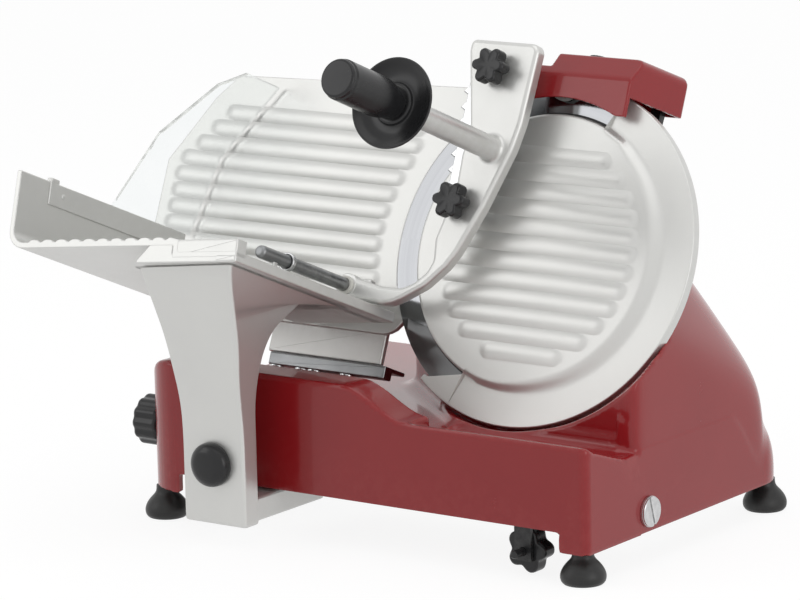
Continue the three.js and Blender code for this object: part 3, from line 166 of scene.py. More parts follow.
# A profile of (radius, height) turned about the third axis: x = r cos t, y = r sin t. A closed one
# is a ring, whose last point meets its first.
def turned(profile, sides=96, centre=(0, 0), closed=False):
    p = np.asarray(profile, float)
    turn = np.linspace(0, 2 * math.pi, sides, endpoint=False)[None]
    x = centre[0] + p[:, :1] * np.cos(turn)
    y = centre[1] + p[:, :1] * np.sin(turn)
    z = np.broadcast_to(p[:, 1:2], x.shape)
    return np.stack([x, y, z], -1).reshape(-1, 3), gridFaces(len(p), sides, closed)


# An outline carried along the third axis, drawn in by a set amount at each height, closed by its ends.
def carried(outline, layers):
    verts = [raised(drawnIn(outline, inset), height) for inset, height in layers]
    return np.concatenate(verts), tubeFaces(len(layers), len(outline))


# Layers that round both ends of a carried outline, with a narrow flat band to keep the ends' light even.
def softEnds(low, high, radius, steps=4, band=0.25):
    turn = np.linspace(0, math.pi / 2, steps + 1)
    near = [(radius * (1 - math.sin(t)), low + radius * (1 - math.cos(t))) for t in turn]
    far = [(inset, high - (height - low)) for inset, height in reversed(near)]
    return [(radius + band, low), *near, *far, (radius + band, high)]


# Reach from the middle: the radius less the depth times a raised cosine that repeats for each lobe.
def lobes(radius, depth, count, power=1.0, steps=20):
    turn = np.linspace(0, 2 * math.pi, count * steps, endpoint=False)
    reach = radius - depth * ((1 - np.cos(turn * count)) / 2) ** power
    return np.column_stack([reach * np.cos(turn), reach * np.sin(turn)])


# A lobed outline drawn towards its centre by a share at each height, closed by a shallow dome.
def knob(outline, centre, low, high, edge, dome=0.4):
    turn = np.linspace(0, math.pi / 2, 5)
    reach = np.max(np.linalg.norm(outline, axis=1))
    near = [(1 - edge / reach * (1 - math.sin(t)), edge * (1 - math.cos(t))) for t in turn]
    end = near[0][0]
    rows = [(0, low + dome), (0.6 * end, low + dome / 3), *[(share, low + rise) for share, rise in near]]
    rows += [(share, high - rise) for share, rise in near[::-1]]
    rows += [(0.96 * end, high + 0.02), (0.6 * end, high - dome / 3), (0, high - dome)]
    verts = [raised(outline * share + centre, height) for share, height in rows]
    return np.concatenate(verts), gridFaces(len(rows), len(outline))


# A rectangle with round corners, carried between two heights with soft ends.
def block(x0, x1, y0, y1, z0, z1, edge):
    outline = rounded([(x0, y0), (x1, y0), (x1, y1), (x0, y1)], edge, 4)
    return carried(outline, softEnds(z0, z1, min(edge, (z1 - z0) / 2.5)))


# Points made along the third axis are turned so that it runs along x or along y.
def along(axis, shape):
    verts, faces = shape
    a, b, c = np.asarray(verts).T
    return (np.column_stack([c, a, b]) if axis == "x" else np.column_stack([a, c, b])), faces


# Every point moved by the same offset.
def moved(shape, offset):
    return np.asarray(shape[0]) + np.asarray(offset, float), shape[1]


# Several shapes as one: each one's faces count on from the points before it.
def together(*shapes):
    verts, faces, start = [], [], 0
    for points, polygons in shapes:
        verts.append(points)
        faces += [[start + i for i in polygon] for polygon in polygons]
        start += len(points)
    return np.concatenate(verts), faces


# The larger of two fields, with the crease between them rounded over a width: the maximum, plus the
# square of what their difference lacks to the width, divided by four widths.
def larger(a, b, width):
    return np.maximum(a, b) + np.maximum(width - np.abs(a - b), 0) ** 2 / (4 * width)


# The smaller of two fields, with its crease rounded in the same way.
def smaller(a, b, width):
    return -larger(-a, -b, width)


# A box as a field: how far a point is past the nearer end on each axis, below zero inside.
def boxField(point, low, high, width):
    x, y, z = [larger(p - b, a - p, width) for p, a, b in zip(point, low, high)]
    return larger(larger(x, y, width), z, width)


# The skin where a field is zero: one point in each cell it crosses, at the mean of the cell's
# edge crossings, then drawn onto the skin along the field's slope.
def skinOf(field, low, high, step):
    ticks = [np.arange(a, b + step, step) for a, b in zip(low, high)]
    value = field(*np.meshgrid(*ticks, indexing="ij"))
    cells = np.array(value.shape) - 1
    total, count, edges = np.zeros((cells.prod(), 3)), np.zeros(cells.prod()), []
    for axis in range(3):
        near, far = np.delete(value, -1, axis), np.delete(value, 0, axis)
        at = np.stack(np.nonzero((near < 0) != (far < 0)), -1)
        a, b = near[tuple(at.T)], far[tuple(at.T)]
        where = at.astype(float)
        where[:, axis] += a / (a - b)
        sides = [side for side in range(3) if side != axis]
        ring = []
        for first, second in ((0, 0), (1, 0), (1, 1), (0, 1)):
            cell = at.copy()
            cell[:, sides[0]] -= first
            cell[:, sides[1]] -= second
            index = (cell[:, 0] * cells[1] + cell[:, 1]) * cells[2] + cell[:, 2]
            for column in range(3):
                total[:, column] += np.bincount(index, where[:, column], len(total))
            count += np.bincount(index, minlength=len(count))
            ring.append(index)
        edges.append(np.stack(ring, -1))
    used = count > 0
    number = np.cumsum(used) - 1
    points = total[used] / count[used, None] * step + np.array([tick[0] for tick in ticks])
    nudge = step / 20
    for _ in range(4):
        here = field(*points.T)
        slope = np.stack(
            [field(*(points + nudge * way).T) - field(*(points - nudge * way).T) for way in np.eye(3)], -1
        ) / (2 * nudge)
        shift = slope * (here / np.maximum(np.sum(slope**2, -1), 0.2))[:, None]
        size = np.maximum(np.linalg.norm(shift, axis=1, keepdims=True), 1e-9)
        points = points - shift * np.minimum(1, step * 0.5 / size)
    return points, number[np.concatenate(edges)].tolist()


# A shape in its frame becomes a mesh in metres, with doubles merged and faces pointing out.
def put(name, shape, where, body, slot, nodes=(), crease=35, flatten=0.0):
    origin, basis = where
    mesh = bpy.data.meshes.new(name)
    mesh.from_pydata(((origin + np.asarray(shape[0]) @ basis) * mm).tolist(), [], shape[1])
    build = bmesh.new()
    build.from_mesh(mesh)
    bmesh.ops.remove_doubles(build, verts=build.verts, dist=2e-6)
    if flatten:
        limit = math.radians(flatten)
        bmesh.ops.dissolve_limit(build, angle_limit=limit, verts=build.verts, edges=build.edges)
    bmesh.ops.recalc_face_normals(build, faces=build.faces)
    build.to_mesh(mesh)
    build.free()
    mesh.shade_smooth()
    mesh.set_sharp_from_angle(angle=math.radians(crease))
    mesh.materials.append(materials[slot])
    piece = bpy.data.objects.new(name, mesh)
    scene.collection.objects.link(piece)
    even = piece.modifiers.new("evenLight", "WEIGHTED_NORMAL")  # flat faces keep one shade to their edges
    even.keep_sharp = True
    even.weight = 90
    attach(piece, body)
    if nodes:
        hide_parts(*nodes)


# Effects that several finishes share. A group's inputs come by name with their first values.
def newGroup(name, inputs, outputs):
    tree = bpy.data.node_groups.new(name, "ShaderNodeTree")
    for label, value in inputs.items():
        kind = "NodeSocketVector" if isinstance(value, tuple) else "NodeSocketFloat"
        tree.interface.new_socket(label, in_out="INPUT", socket_type=kind).default_value = value
    for label in outputs:
        tree.interface.new_socket(label, in_out="OUTPUT", socket_type="NodeSocketFloat")
    return tree, tree.nodes.new("NodeGroupInput"), tree.nodes.new("NodeGroupOutput")


# Values and other nodes' outputs go into a node's sockets.
def feed(tree, node, sockets):
    for key, value in sockets.items():
        if isinstance(value, bpy.types.NodeSocket):
            tree.links.new(value, node.inputs[key])
        else:
            node.inputs[key].default_value = value
    return node


def addNode(tree, kind, sockets=None, **values):
    node = tree.nodes.new("ShaderNode" + kind)
    for key, value in values.items():
        setattr(node, key, value)
    return feed(tree, node, sockets or {})


def maths(tree, operation, *given):
    return addNode(tree, "Math", dict(enumerate(given)), operation=operation).outputs[0]


def noise(tree, vector, scale, detail, roughness=0.5):
    sockets = {"Vector": vector, "Scale": scale, "Detail": detail, "Roughness": roughness}
    return addNode(tree, "TexNoise", sockets).outputs["Fac"]


def mapRange(tree, source, low, high, toLow=0.0, toHigh=1.0):
    sockets = {"Value": source, "From Min": low, "From Max": high, "To Min": toLow, "To Max": toHigh}
    return addNode(tree, "MapRange", sockets).outputs["Result"]


# Fine grain for bump, a broad mottle for tone, and smudges for roughness.
def skinGroup():
    inputs = {"Vector": (0, 0, 0), "Grain": 900.0, "Mottle": 22.0}
    tree, given, result = newGroup("castSkin", inputs, ["Height", "Tone", "Smudge"])
    place, grain, mottle = (given.outputs[label] for label in inputs)
    feed(tree, result, {
        "Height": noise(tree, place, grain, 2),
        "Tone": mapRange(tree, noise(tree, place, mottle, 5, 0.6), 0.3, 0.7),
        "Smudge": mapRange(tree, noise(tree, place, 9, 6, 0.65), 0.5, 0.72),
    })
    return tree


# Long thin lines: noise that is stretched along one axis of the vector it is given.
def lineGroup():
    inputs = {"Vector": (0, 0, 0), "Stretch": (1, 1, 1)}
    tree, given, result = newGroup("brushLines", inputs, ["Lines", "Bands"])
    both = {0: given.outputs["Vector"], 1: given.outputs["Stretch"]}
    place = addNode(tree, "VectorMath", both, operation="MULTIPLY").outputs["Vector"]
    feed(tree, result, {
        "Lines": mapRange(tree, noise(tree, place, 1.0, 4, 0.7), 0.25, 0.75),
        "Bands": mapRange(tree, noise(tree, place, 0.18, 2), 0.3, 0.7),
    })
    return tree


# Where corners stand proud and have been rubbed: the surface's pointiness, broken up by noise.
def rubGroup():
    tree, given, result = newGroup("rubbedEdges", {"Vector": (0, 0, 0), "Pointiness": 0.5}, ["Mask"])
    proud = mapRange(tree, given.outputs["Pointiness"], 0.52, 0.6)
    patches = mapRange(tree, noise(tree, given.outputs["Vector"], 130, 4, 0.6), 0.4, 0.62)
    feed(tree, result, {"Mask": maths(tree, "MULTIPLY", proud, patches)})
    return tree


groups = {"skin": skinGroup(), "lines": lineGroup(), "rub": rubGroup()}


def groupNode(tree, key, sockets):
    return addNode(tree, "Group", sockets, node_tree=groups[key])


# The first colour where the factor is 0, the second where it is 1.
def mixed(tree, factor, *colours):
    first, second = [(*colour, 1) if isinstance(colour, tuple) else colour for colour in colours]
    return addNode(tree, "Mix", {"Factor": factor, 6: first, 7: second}, data_type="RGBA").outputs[2]


def newMaterial(name):
    material = bpy.data.materials.new(name)
    material.use_nodes = True
    return material, material.node_tree, material.node_tree.nodes["Principled BSDF"]


# Object coordinates seen from the blade's centre: distance from its axis, turn, and height.
def polarPlace(tree, place):
    sockets = {0: place, 1: (bladeFrame[0] * mm).tolist()}
    offset = addNode(tree, "VectorMath", sockets, operation="SUBTRACT").outputs["Vector"]
    parts = []
    for axis in bladeFrame[1].tolist():
        dot = addNode(tree, "VectorMath", {0: offset, 1: axis}, operation="DOT_PRODUCT")
        parts.append(dot.outputs["Value"])
    flat = addNode(tree, "CombineXYZ", {0: parts[0], 1: parts[1]}).outputs[0]
    reach = addNode(tree, "VectorMath", {0: flat}, operation="LENGTH").outputs["Value"]
    turn = maths(tree, "ARCTAN2", parts[1], parts[0])
    return addNode(tree, "CombineXYZ", {0: reach, 1: turn, 2: parts[2]}).outputs[0]


# One finish: two tones that a mottle mixes, rubbed edges, roughness that smudges change, and fine bump.
def makeFinish(name, recipe):
    material, tree, shader = newMaterial(name)
    place = addNode(tree, "TexCoord").outputs["Object"]
    skin = groupNode(tree, "skin", {"Vector": place, "Grain": recipe["grain"], "Mottle": recipe["mottle"]})
    colour = mixed(tree, skin.outputs["Tone"], recipe["colour"], recipe["second"])
    rough = mapRange(tree, skin.outputs["Smudge"], 0, 1, *recipe["roughness"])
    height = skin.outputs["Height"]
    if "stretch" in recipe:
        lines = groupNode(tree, "lines", {"Vector": polarPlace(tree, place), "Stretch": recipe["stretch"]})
        colour = mixed(tree, lines.outputs["Bands"], colour, recipe["band"])
        height = lines.outputs["Lines"]
        rough = maths(tree, "MULTIPLY_ADD", height, recipe["lineRough"], rough)
    if "rub" in recipe:
        proud = addNode(tree, "NewGeometry").outputs["Pointiness"]
        rub = groupNode(tree, "rub", {"Vector": place, "Pointiness": proud})
        colour = mixed(tree, rub.outputs["Mask"], colour, recipe["rub"])
    bump = addNode(tree, "Bump", {"Strength": recipe["bump"], "Distance": bumpDepth, "Height": height})
    feed(tree, shader, {
        "Base Color": colour, "Roughness": rough, "Normal": bump.outputs["Normal"],
        "Metallic": recipe.get("metallic", 0), "Coat Weight": recipe.get("coat", 0),
        "Coat Roughness": recipe.get("coatRough", 0.05), "Specular IOR Level": recipe.get("specular", 0.5),
    })
    return material


# Acrylic sheet: it lets light through, with faint wipe marks in its gloss.
def clearFinish(recipe):
    material, tree, shader = newMaterial("clearSheet")
    skin = groupNode(tree, "skin", {"Vector": addNode(tree, "TexCoord").outputs["Object"]})
    feed(tree, shader, {
        "Base Color": mixed(tree, skin.outputs["Tone"], recipe["colour"], recipe["second"]),
        "Roughness": mapRange(tree, skin.outputs["Smudge"], 0, 1, *recipe["roughness"]),
        "IOR": recipe["ior"], "Transmission Weight": 1,
    })
    return material


bumpDepth = 0.0002  # metres
finishes = {
    "red_paint": dict(
        colour=(0.29, 0.009, 0.012), second=(0.265, 0.008, 0.011), rub=(0.33, 0.03, 0.03),
        roughness=(0.22, 0.28), grain=420, mottle=9, bump=0.03, coat=0.35, coatRough=0.05, specular=0.3,
    ),
    "cast_aluminium": dict(
        colour=(0.66, 0.66, 0.64), second=(0.64, 0.64, 0.622), rub=(0.72, 0.72, 0.71),
        roughness=(0.36, 0.42), grain=2600, mottle=16, bump=0.08, metallic=0.62,
    ),
    "bright_steel": dict(
        colour=(0.55, 0.555, 0.56), second=(0.5, 0.505, 0.51), rub=(0.72, 0.72, 0.72),
        roughness=(0.2, 0.3), grain=1800, mottle=30, bump=0.06, metallic=1,
    ),
    "dark_steel": dict(
        colour=(0.28, 0.285, 0.29), second=(0.22, 0.225, 0.23), rub=(0.5, 0.5, 0.5),
        roughness=(0.3, 0.42), grain=1500, mottle=40, bump=0.1, metallic=1,
    ),
    "blade_steel": dict(
        colour=(0.3, 0.305, 0.315), second=(0.275, 0.28, 0.29), roughness=(0.07, 0.12),
        grain=900, mottle=12, bump=0.03, metallic=1,
        stretch=(1500, 1.5, 20), band=(0.265, 0.27, 0.28), lineRough=0.05,
    ),
    "black_plastic": dict(
        colour=(0.014, 0.014, 0.015), second=(0.019, 0.019, 0.02), rub=(0.04, 0.04, 0.04),
        roughness=(0.24, 0.34), grain=1900, mottle=35, bump=0.06, specular=0.35,
    ),
    "black_rubber": dict(
        colour=(0.016, 0.016, 0.016), second=(0.023, 0.023, 0.022), rub=(0.05, 0.05, 0.048),
        roughness=(0.42, 0.6), grain=1400, mottle=60, bump=0.18, specular=0.4,
    ),
    "white_nylon": dict(
        colour=(0.72, 0.71, 0.67), second=(0.66, 0.65, 0.6), roughness=(0.45, 0.6),
        grain=1200, mottle=40, bump=0.08,
    ),
    "abrasive": dict(
        colour=(0.34, 0.33, 0.31), second=(0.22, 0.21, 0.2), roughness=(0.85, 0.95),
        grain=3200, mottle=900, bump=0.6,
    ),
    "motor_winding": dict(
        colour=(0.3, 0.13, 0.08), second=(0.2, 0.08, 0.05), roughness=(0.35, 0.5),
        grain=800, mottle=90, bump=0.2, metallic=0.7,
    ),
    "green_plastic": dict(
        colour=(0.03, 0.22, 0.07), second=(0.025, 0.19, 0.06), roughness=(0.25, 0.35),
        grain=1500, mottle=40, bump=0.05,
    ),
    "red_plastic": dict(
        colour=(0.42, 0.02, 0.015), second=(0.37, 0.018, 0.013), roughness=(0.25, 0.35),
        grain=1500, mottle=40, bump=0.05,
    ),
}
sheetFinish = dict(
    colour=(0.96, 0.975, 0.975), second=(0.93, 0.95, 0.95), roughness=(0.02, 0.07), ior=1.13,
)
materials = {name: makeFinish(name, recipe) for name, recipe in finishes.items()}
materials["clear_plastic"] = clearFinish(sheetFinish)
for part in frame["record"]["subparts"]:  # every CAD node starts with its slot's finish
    slots = frame["nodes"][part["node"]].data.materials
    slots.clear()
    slots.append(materials[part["material_slot"]])
print("finishes ready:", len(materials))

# The camera, at the photograph's angle.
camera = {
    "place": (2098.5, -2540.6, 837.6), "azimuth": 36.0798, "elevation": 11.5984, "roll": -1.35693,
    "lens": 202.5, "sensor": 36, "clipEnd": 60,
}


def setCamera():
    azimuth, elevation, roll = (math.radians(camera[key]) for key in ("azimuth", "elevation", "roll"))
    level = np.array([math.cos(azimuth), math.sin(azimuth), 0])
    away = np.array([math.sin(azimuth), -math.cos(azimuth), 0])
    back = away * math.cos(elevation) + (0, 0, math.sin(elevation))
    upright = np.cross(level, -back)
    right = math.cos(roll) * level + math.sin(roll) * upright
    up = -math.sin(roll) * level + math.cos(roll) * upright
    data = bpy.data.cameras.new("viewCamera")
    data.lens = camera["lens"]
    data.sensor_width = camera["sensor"]
    data.sensor_fit = "HORIZONTAL"
    data.clip_end = camera["clipEnd"]
    view = bpy.data.objects.new("viewCamera", data)
    matrix = np.eye(4)
    matrix[:3] = np.column_stack([right, up, back, (baseFrame[0] + camera["place"]) * mm])
    view.matrix_world = Matrix(matrix.tolist())
    scene.collection.objects.link(view)
    scene.camera = view


setCamera()

# The studio: a pale floor, a white world and three soft lamps.
studio = {
    "floorSize": 30.0, "floorColour": (0.86, 0.86, 0.86, 1), "floorRough": 0.8, "floorGloss": 0.1,
    "floorGlow": 0.82, "glowStrength": 1.08, "worldLight": 0.58, "aimHeight": 0.15,
    "lamps": [  # name, place, size, power
        ("topLamp", (0.3, -0.2, 2.2), (1.8, 1.8), 8),
        ("rightLamp", (2.2, -0.4, 0.6), (1.2, 1.4), 9),
        ("leftLamp", (-1.6, -1.7, 1.3), (1.0, 1.4), 6),
    ],
}


# 1 for the rays that show the studio itself: from the camera, off gloss and through the clear sheet.
def seenRays(tree):
    rays = addNode(tree, "LightPath").outputs
    first = maths(tree, "MAXIMUM", rays["Is Camera Ray"], rays["Is Glossy Ray"])
    return maths(tree, "MAXIMUM", first, rays["Is Transmission Ray"])


# Seen rays take the second surface by a share, all other rays the first.
def splitRays(tree, share, first, second, output):
    choice = addNode(tree, "MixShader", {0: share, 1: first.outputs[0], 2: second.outputs[0]})
    feed(tree, tree.nodes[output], {"Surface": choice.outputs[0]})


def setStudio():
    world = bpy.data.worlds.new("studioWorld")
    world.use_nodes = True
    tree = world.node_tree
    white = (1, 1, 1, 1)
    light = feed(tree, tree.nodes["Background"], {"Color": white, "Strength": studio["worldLight"]})
    splitRays(tree, seenRays(tree), light, addNode(tree, "Background", {"Color": white}), "World Output")
    scene.world = world

    pale, tree, shader = newMaterial("paleFloor")
    gloss = {"Roughness": studio["floorRough"], "Specular IOR Level": studio["floorGloss"]}
    feed(tree, shader, {"Base Color": studio["floorColour"], **gloss})
    glow = addNode(tree, "Emission", {"Strength": studio["glowStrength"]})
    share = maths(tree, "MULTIPLY", seenRays(tree), studio["floorGlow"])
    splitRays(tree, share, shader, glow, "Material Output")
    half = studio["floorSize"] / 2
    mesh = bpy.data.meshes.new("floor")
    corners = [(-half, -half, 0), (half, -half, 0), (half, half, 0), (-half, half, 0)]
    mesh.from_pydata(corners, [], [(0, 1, 2, 3)])
    mesh.materials.append(pale)
    floor = bpy.data.objects.new("floor", mesh)
    scene.collection.objects.link(floor)

    for name, place, size, power in studio["lamps"]:
        data = bpy.data.lights.new(name, "AREA")
        data.shape = "RECTANGLE"
        data.size, data.size_y = size
        data.energy = power
        lamp = bpy.data.objects.new(name, data)
        lamp.location = place
        aim = Vector((0, 0, studio["aimHeight"])) - Vector(place)
        lamp.rotation_euler = aim.to_track_quat("-Z", "Y").to_euler()
        scene.collection.objects.link(lamp)


setStudio()
scene.view_settings.view_transform = "Standard"
print("camera and studio ready")

# The casting: plinth, front rim, trough, tower and its round back plate. A pair of corners is a box.
# A round hole is its two places, its radius and where it ends; a boss, its radius and both ends.
casting = {
    "length": 404, "depth": 278, "sharp": 5.5, "soft": 36, "deck": 88, "wall": 6, "ceiling": 77,
    "edge": 3.2, "rearSoft": 52, "rearFrom": (330, 190), "rearOver": 50,
    "rimDepth": 30, "rimHeight": 124, "lipHeight": 102, "rimEnd": 190, "lipStart": 250, "rimRound": 30,
    "rimFlank": (384, 8, 40), "rimScale": 0.93,
    "troughStart": 250, "troughEnd": 69, "troughPlaces": (3, 12, 49), "troughHeights": (102.5, 97, 84.5),
    "tower": [
        (404, 64, 24.5), (404, 64, 188), (404, 243, 103), (404, 252, 24.5), (370, 119, 234),
        (370, 198, 190), (371, 268, 114), (371, 276, 24.5), (249, 64, 24.5), (249, 64, 188),
        (249, 119, 234), (249, 207, 234), (317, 207, 234), (142, 159, 24.5), (142, 159, 172),
        (142, 200, 172), (142, 265, 100), (142, 265, 24.5),
    ],
    "towerSoftness": 4.2, "mouth": 133.5, "guardFace": 3.6, "mouthSlide": (48, 0.72, 0.15),
    "narrow": (7, 9.6, 60, 40), "pocket": (134, -12.2), "pocketStep": (6, 40, 50),
    "fillet": (0.4, 12, 14), "plate": (119, 107, -12.2, -18.2, -24.2),
    "boss": (23, -44.2, -15.2), "seat": (20.7, -131, -101),
    "post": ((-12.7, 83, -38.2), (38, 146.7, -18.2)), "wallPlate": ((-121, -111, -64.2), (125, 41, -58.2)),
    "feet": [(14, 16), (390, 16), (14, 262), (390, 262)], "footPost": (12.5, 80),
    "notch": (38.75, 380, 11, 38.5), "slotHole": ((77.5, 95, 60), (121, 126, 93)),
    "rodHoles": (80, 40, 6.3, 20, 384), "indexHole": (41, 66, 5.3, 12), "glandHole": (60, 50, 7.3, 260),
    "box": ((-6, -6, 18), (410, 284, 342)), "step": 2.0,
}
skirtLow = places["skirtBottom"]


# The flat sides of the hull round some corners, each as a normal and its distance.
def hullPlanes(corners):
    hull = bmesh.new()
    for corner in corners:
        hull.verts.new(corner)
    bmesh.ops.convex_hull(hull, input=hull.verts)
    middle = np.mean(corners, axis=0)
    planes = []  # sides that face the same way at the same distance count once
    for face in hull.faces:
        face.normal_update()
        normal, point = np.array(face.normal), np.array(face.verts[0].co)
        if face.calc_area() < 1:  # a sliver between two corners is no side
            continue
        if (point - middle) @ normal < 0:
            normal = -normal
        plane = np.array([*normal, normal @ point])
        if not any(plane[:3] @ other[:3] > 0.9995 and abs(plane[3] - other[3]) < 0.6 for other in planes):
            planes.append(plane)
    hull.free()
    return planes


# The distance to the plan's edge: a rectangle whose corners are arcs, a small one at the front right.
def planField(x, y):
    c = casting
    px, py = x - c["length"] / 2, y - c["depth"] / 2
    corner = np.where((px > 0) & (py < 0), c["sharp"], c["soft"])
    qx, qy = np.abs(px) - c["length"] / 2 + corner, np.abs(py) - c["depth"] / 2 + corner
    return np.minimum(np.maximum(qx, qy), 0) + np.hypot(np.maximum(qx, 0), np.maximum(qy, 0)) - corner


# The front rim: its top falls by half a cosine wave to the lip and bends down in an arc at the left.
def rimField(x, y, z, plan):
    c, edge = casting, casting["edge"]
    share = np.clip((x - c["rimEnd"]) / (c["lipStart"] - c["rimEnd"]), 0, 1)
    top = c["rimHeight"] - (c["rimHeight"] - c["lipHeight"]) * (1 - np.cos(math.pi * share)) / 2
    radius = c["rimRound"]
    bend = radius - np.sqrt(np.maximum(radius**2 - np.maximum(radius - x, 0) ** 2, 0))
    start, width, more = c["rimFlank"]
    depth = c["rimDepth"] + more * smoothStep((x - start) / width)
    rim = larger(larger(plan, y - depth, edge), (z - top + bend) * c["rimScale"], edge)
    return np.maximum(rim, skirtLow - z)


# The trough: open to the right of its start, between two places in depth, above a floor of straight runs.
def troughField(x, y, z):
    c = casting
    floor = np.interp(y, c["troughPlaces"], c["troughHeights"])
    trough = larger(larger(c["troughStart"] - x, c["troughPlaces"][0] - y, 4), floor - z, 4)
    return np.maximum(trough, y - c["troughEnd"])


# The tower: softness times the logarithm of the summed exponentials of its planes' distances.
def towerField(x, y, z, planes):
    soft = casting["towerSoftness"]
    sides = [a * x + b * y + d * z - e for a, b, d, e in planes]
    most = np.maximum.reduce(sides)
    return most + soft * np.log(sum(np.exp((side - most) / soft) for side in sides))


# The round plate behind the blade: a disc whose back edge is cut by a cone.
def plateField(ring, bn):
    outer, inside, front, middle, back = casting["plate"]
    edge = casting["edge"]
    long = math.hypot(middle - back, outer - inside)
    cone = ((ring - outer) * (middle - back) + (middle - bn) * (outer - inside)) / long
    return larger(larger(larger(ring - outer, bn - front, edge), back - bn, edge), cone, edge)


# All of the casting as one field, below zero inside: parts join by the smaller field and are cut by
# the larger, each with its own roundness. bx, bv and bn are a point's place in the blade's frame.
def castingSkin():
    c, edge = casting, casting["edge"]
    planes = hullPlanes(c["tower"])
    origin, basis = places["bladeCentre"], bladeFrame[1]

    def field(x, y, z):
        plan = planField(x, y)
        startX, startY = c["rearFrom"]
        rear = smoothStep((x - startX) / c["rearOver"]) * smoothStep((y - startY) / c["rearOver"])
        deck = larger(plan, z - c["deck"], edge + c["rearSoft"] * rear)
        body = larger(deck, skirtLow - z, edge / 2)
        shape = larger(smaller(body, rimField(x, y, z, plan), 2), -troughField(x, y, z), edge)
        bx = x - origin[0]
        bv = (y - origin[1]) * basis[1, 1] + (z - origin[2]) * basis[1, 2]
        bn = (y - origin[1]) * basis[2, 1] + (z - origin[2]) * basis[2, 2]
        ring = np.hypot(bx, bv)
        most, right, down = c["mouthSlide"]  # the tower opens towards the front right, clear of the guard
        slide = np.clip(bn - c["guardFace"], 0, most)
        amount, over, start, width = c["narrow"]
        narrow = amount * np.clip((c["guardFace"] - bn) / over, 0, 1) * smoothStep((bx - start) / width)
        mouth = c["mouth"] - narrow - np.hypot(bx - right * slide, bv + down * slide)
        radius, (deeper, start, width) = c["pocket"][0] - narrow, c["pocketStep"]
        behind = c["pocket"][1] + deeper * smoothStep((bx - start) / width)
        tower = larger(towerField(x, y, z, planes), plan, 1.5)
        tower = larger(tower, np.minimum(mouth, bn - behind), 3)
        least, more, reach = c["fillet"]
        shape = smaller(shape, tower, least + more * np.clip(-plan / reach, 0, 1))
        shape = smaller(np.maximum(shape, plan), plateField(ring, bn), 3)
        shape = larger(shape, -larger(ring - radius, behind - bn, 3), edge)
        hollow = -np.maximum(ring - radius - c["wall"], behind - c["wall"] - bn)
        hollow = np.maximum(tower + c["wall"], hollow)
        belly = np.maximum(np.maximum(plan, deck) + c["wall"], z - c["ceiling"])
        shape = larger(shape, -np.minimum(hollow, belly), 2)
        radius, low, high = c["boss"]
        shape = np.minimum(shape, np.maximum(np.maximum(ring - radius, bn - high), low - bn))
        radius, low, high = c["seat"]
        shape = np.minimum(shape, larger(larger(ring - radius, bn - high, 2), low - bn, 2))
        shape = np.minimum(shape, boxField((bx, bv, bn), *c["post"], 3))
        shape = np.minimum(shape, np.maximum(boxField((bx, bv, bn), *c["wallPlate"], 1), tower + 4))
        radius, high = c["footPost"]
        for footX, footY in c["feet"]:
            post = np.maximum(np.hypot(x - footX, y - footY) - radius, body + 2)
            shape = np.minimum(shape, np.maximum(post, np.maximum(skirtLow - z, z - high)))
        x0, x1, high, top = c["notch"]
        notch = larger(larger(larger(x0 - x, x - x1, 3), y - high, 3), z - top, 3)
        across, up, radius, end = c["indexHole"]
        indexHole = np.maximum(np.hypot(y - across, z - up) - radius, x - end)
        across, up, radius, end = c["glandHole"]
        glandHole = np.maximum(np.hypot(x - across, z - up) - radius, end - y)
        for cut in (notch, boxField((x, y, z), *c["slotHole"], 2), indexHole, glandHole):
            shape = larger(shape, -cut, 1)
        across, up, radius, low, high = c["rodHoles"]
        rodHoles = np.hypot(y - across, z - up) - radius
        return np.maximum(shape, -np.where((x < low) | (x > high), rodHoles, 99))

    return skinOf(field, *c["box"], c["step"])


put("castBase", castingSkin(), baseFrame, "base", "red_paint", ["base_casting"], crease=50, flatten=0.2)
print("casting ready")

# Flat bodies with a worked face. Points stand across a rounded edge at these shares of its radius.
edgeShares = np.array([0, 0.12, 0.4, 0.75, 1.1])


# A face over rows and columns of plane points: its height falls by a quarter circle at each edge,
# and walls and a flat back close it.
def slab(points, face, back, edge):
    p = np.asarray(points, float)
    rows, columns = p.shape[:2]
    runs = []
    for axis in (0, 1):
        lengths = np.linalg.norm(np.diff(p, axis=axis), axis=-1)
        run = np.concatenate([np.zeros_like(np.take(lengths, [0], axis)), np.cumsum(lengths, axis)], axis)
        runs += [run, np.take(run, [-1], axis) - run]
    near = np.minimum.reduce(runs)
    drop = edge - np.sqrt(np.maximum(edge**2 - np.maximum(edge - near, 0) ** 2, 0))
    verts = np.concatenate([p, (face(p[..., 0], p[..., 1]) - drop)[..., None]], -1).reshape(-1, 3)
    index = np.arange(rows * columns).reshape(rows, columns)
    loop = np.concatenate([index[0, :-1], index[:-1, -1], index[-1, :0:-1], index[:0:-1, 0]])
    start, count = len(verts), len(loop)
    faces = gridFaces(rows, columns, False, False)
    following = np.roll(np.arange(count), -1)
    faces += np.stack([loop, start + np.arange(count), start + following, loop[following]], -1).tolist()
    faces.append(list(range(start, start + count)))
    return np.concatenate([verts, raised(verts[loop, :2], back)]), faces


# Places across a width: close together at both edges, even between them.
def across(width, edge, count):
    near = edgeShares * edge
    width = np.asarray(width, float)[..., None]
    middle = 1.1 * edge + (width - 2.2 * edge) * np.linspace(0, 1, count)[1:-1]
    start = np.broadcast_to(near, (*width.shape[:-1], len(near)))
    return np.concatenate([start, middle, width - near[::-1]], -1)


# Rows that follow a set of ribs: close together where one rib meets the next.
def ribRows(top, pitch, count):
    shares = np.array([-1, -0.94, -0.84, -0.68, -0.46, -0.2, 0.08, 0.36, 0.6, 0.78, 0.9])
    centres = top - pitch * (np.arange(count)[::-1] + 0.5)
    return np.append((centres[:, None] + shares * pitch / 2).ravel(), top)


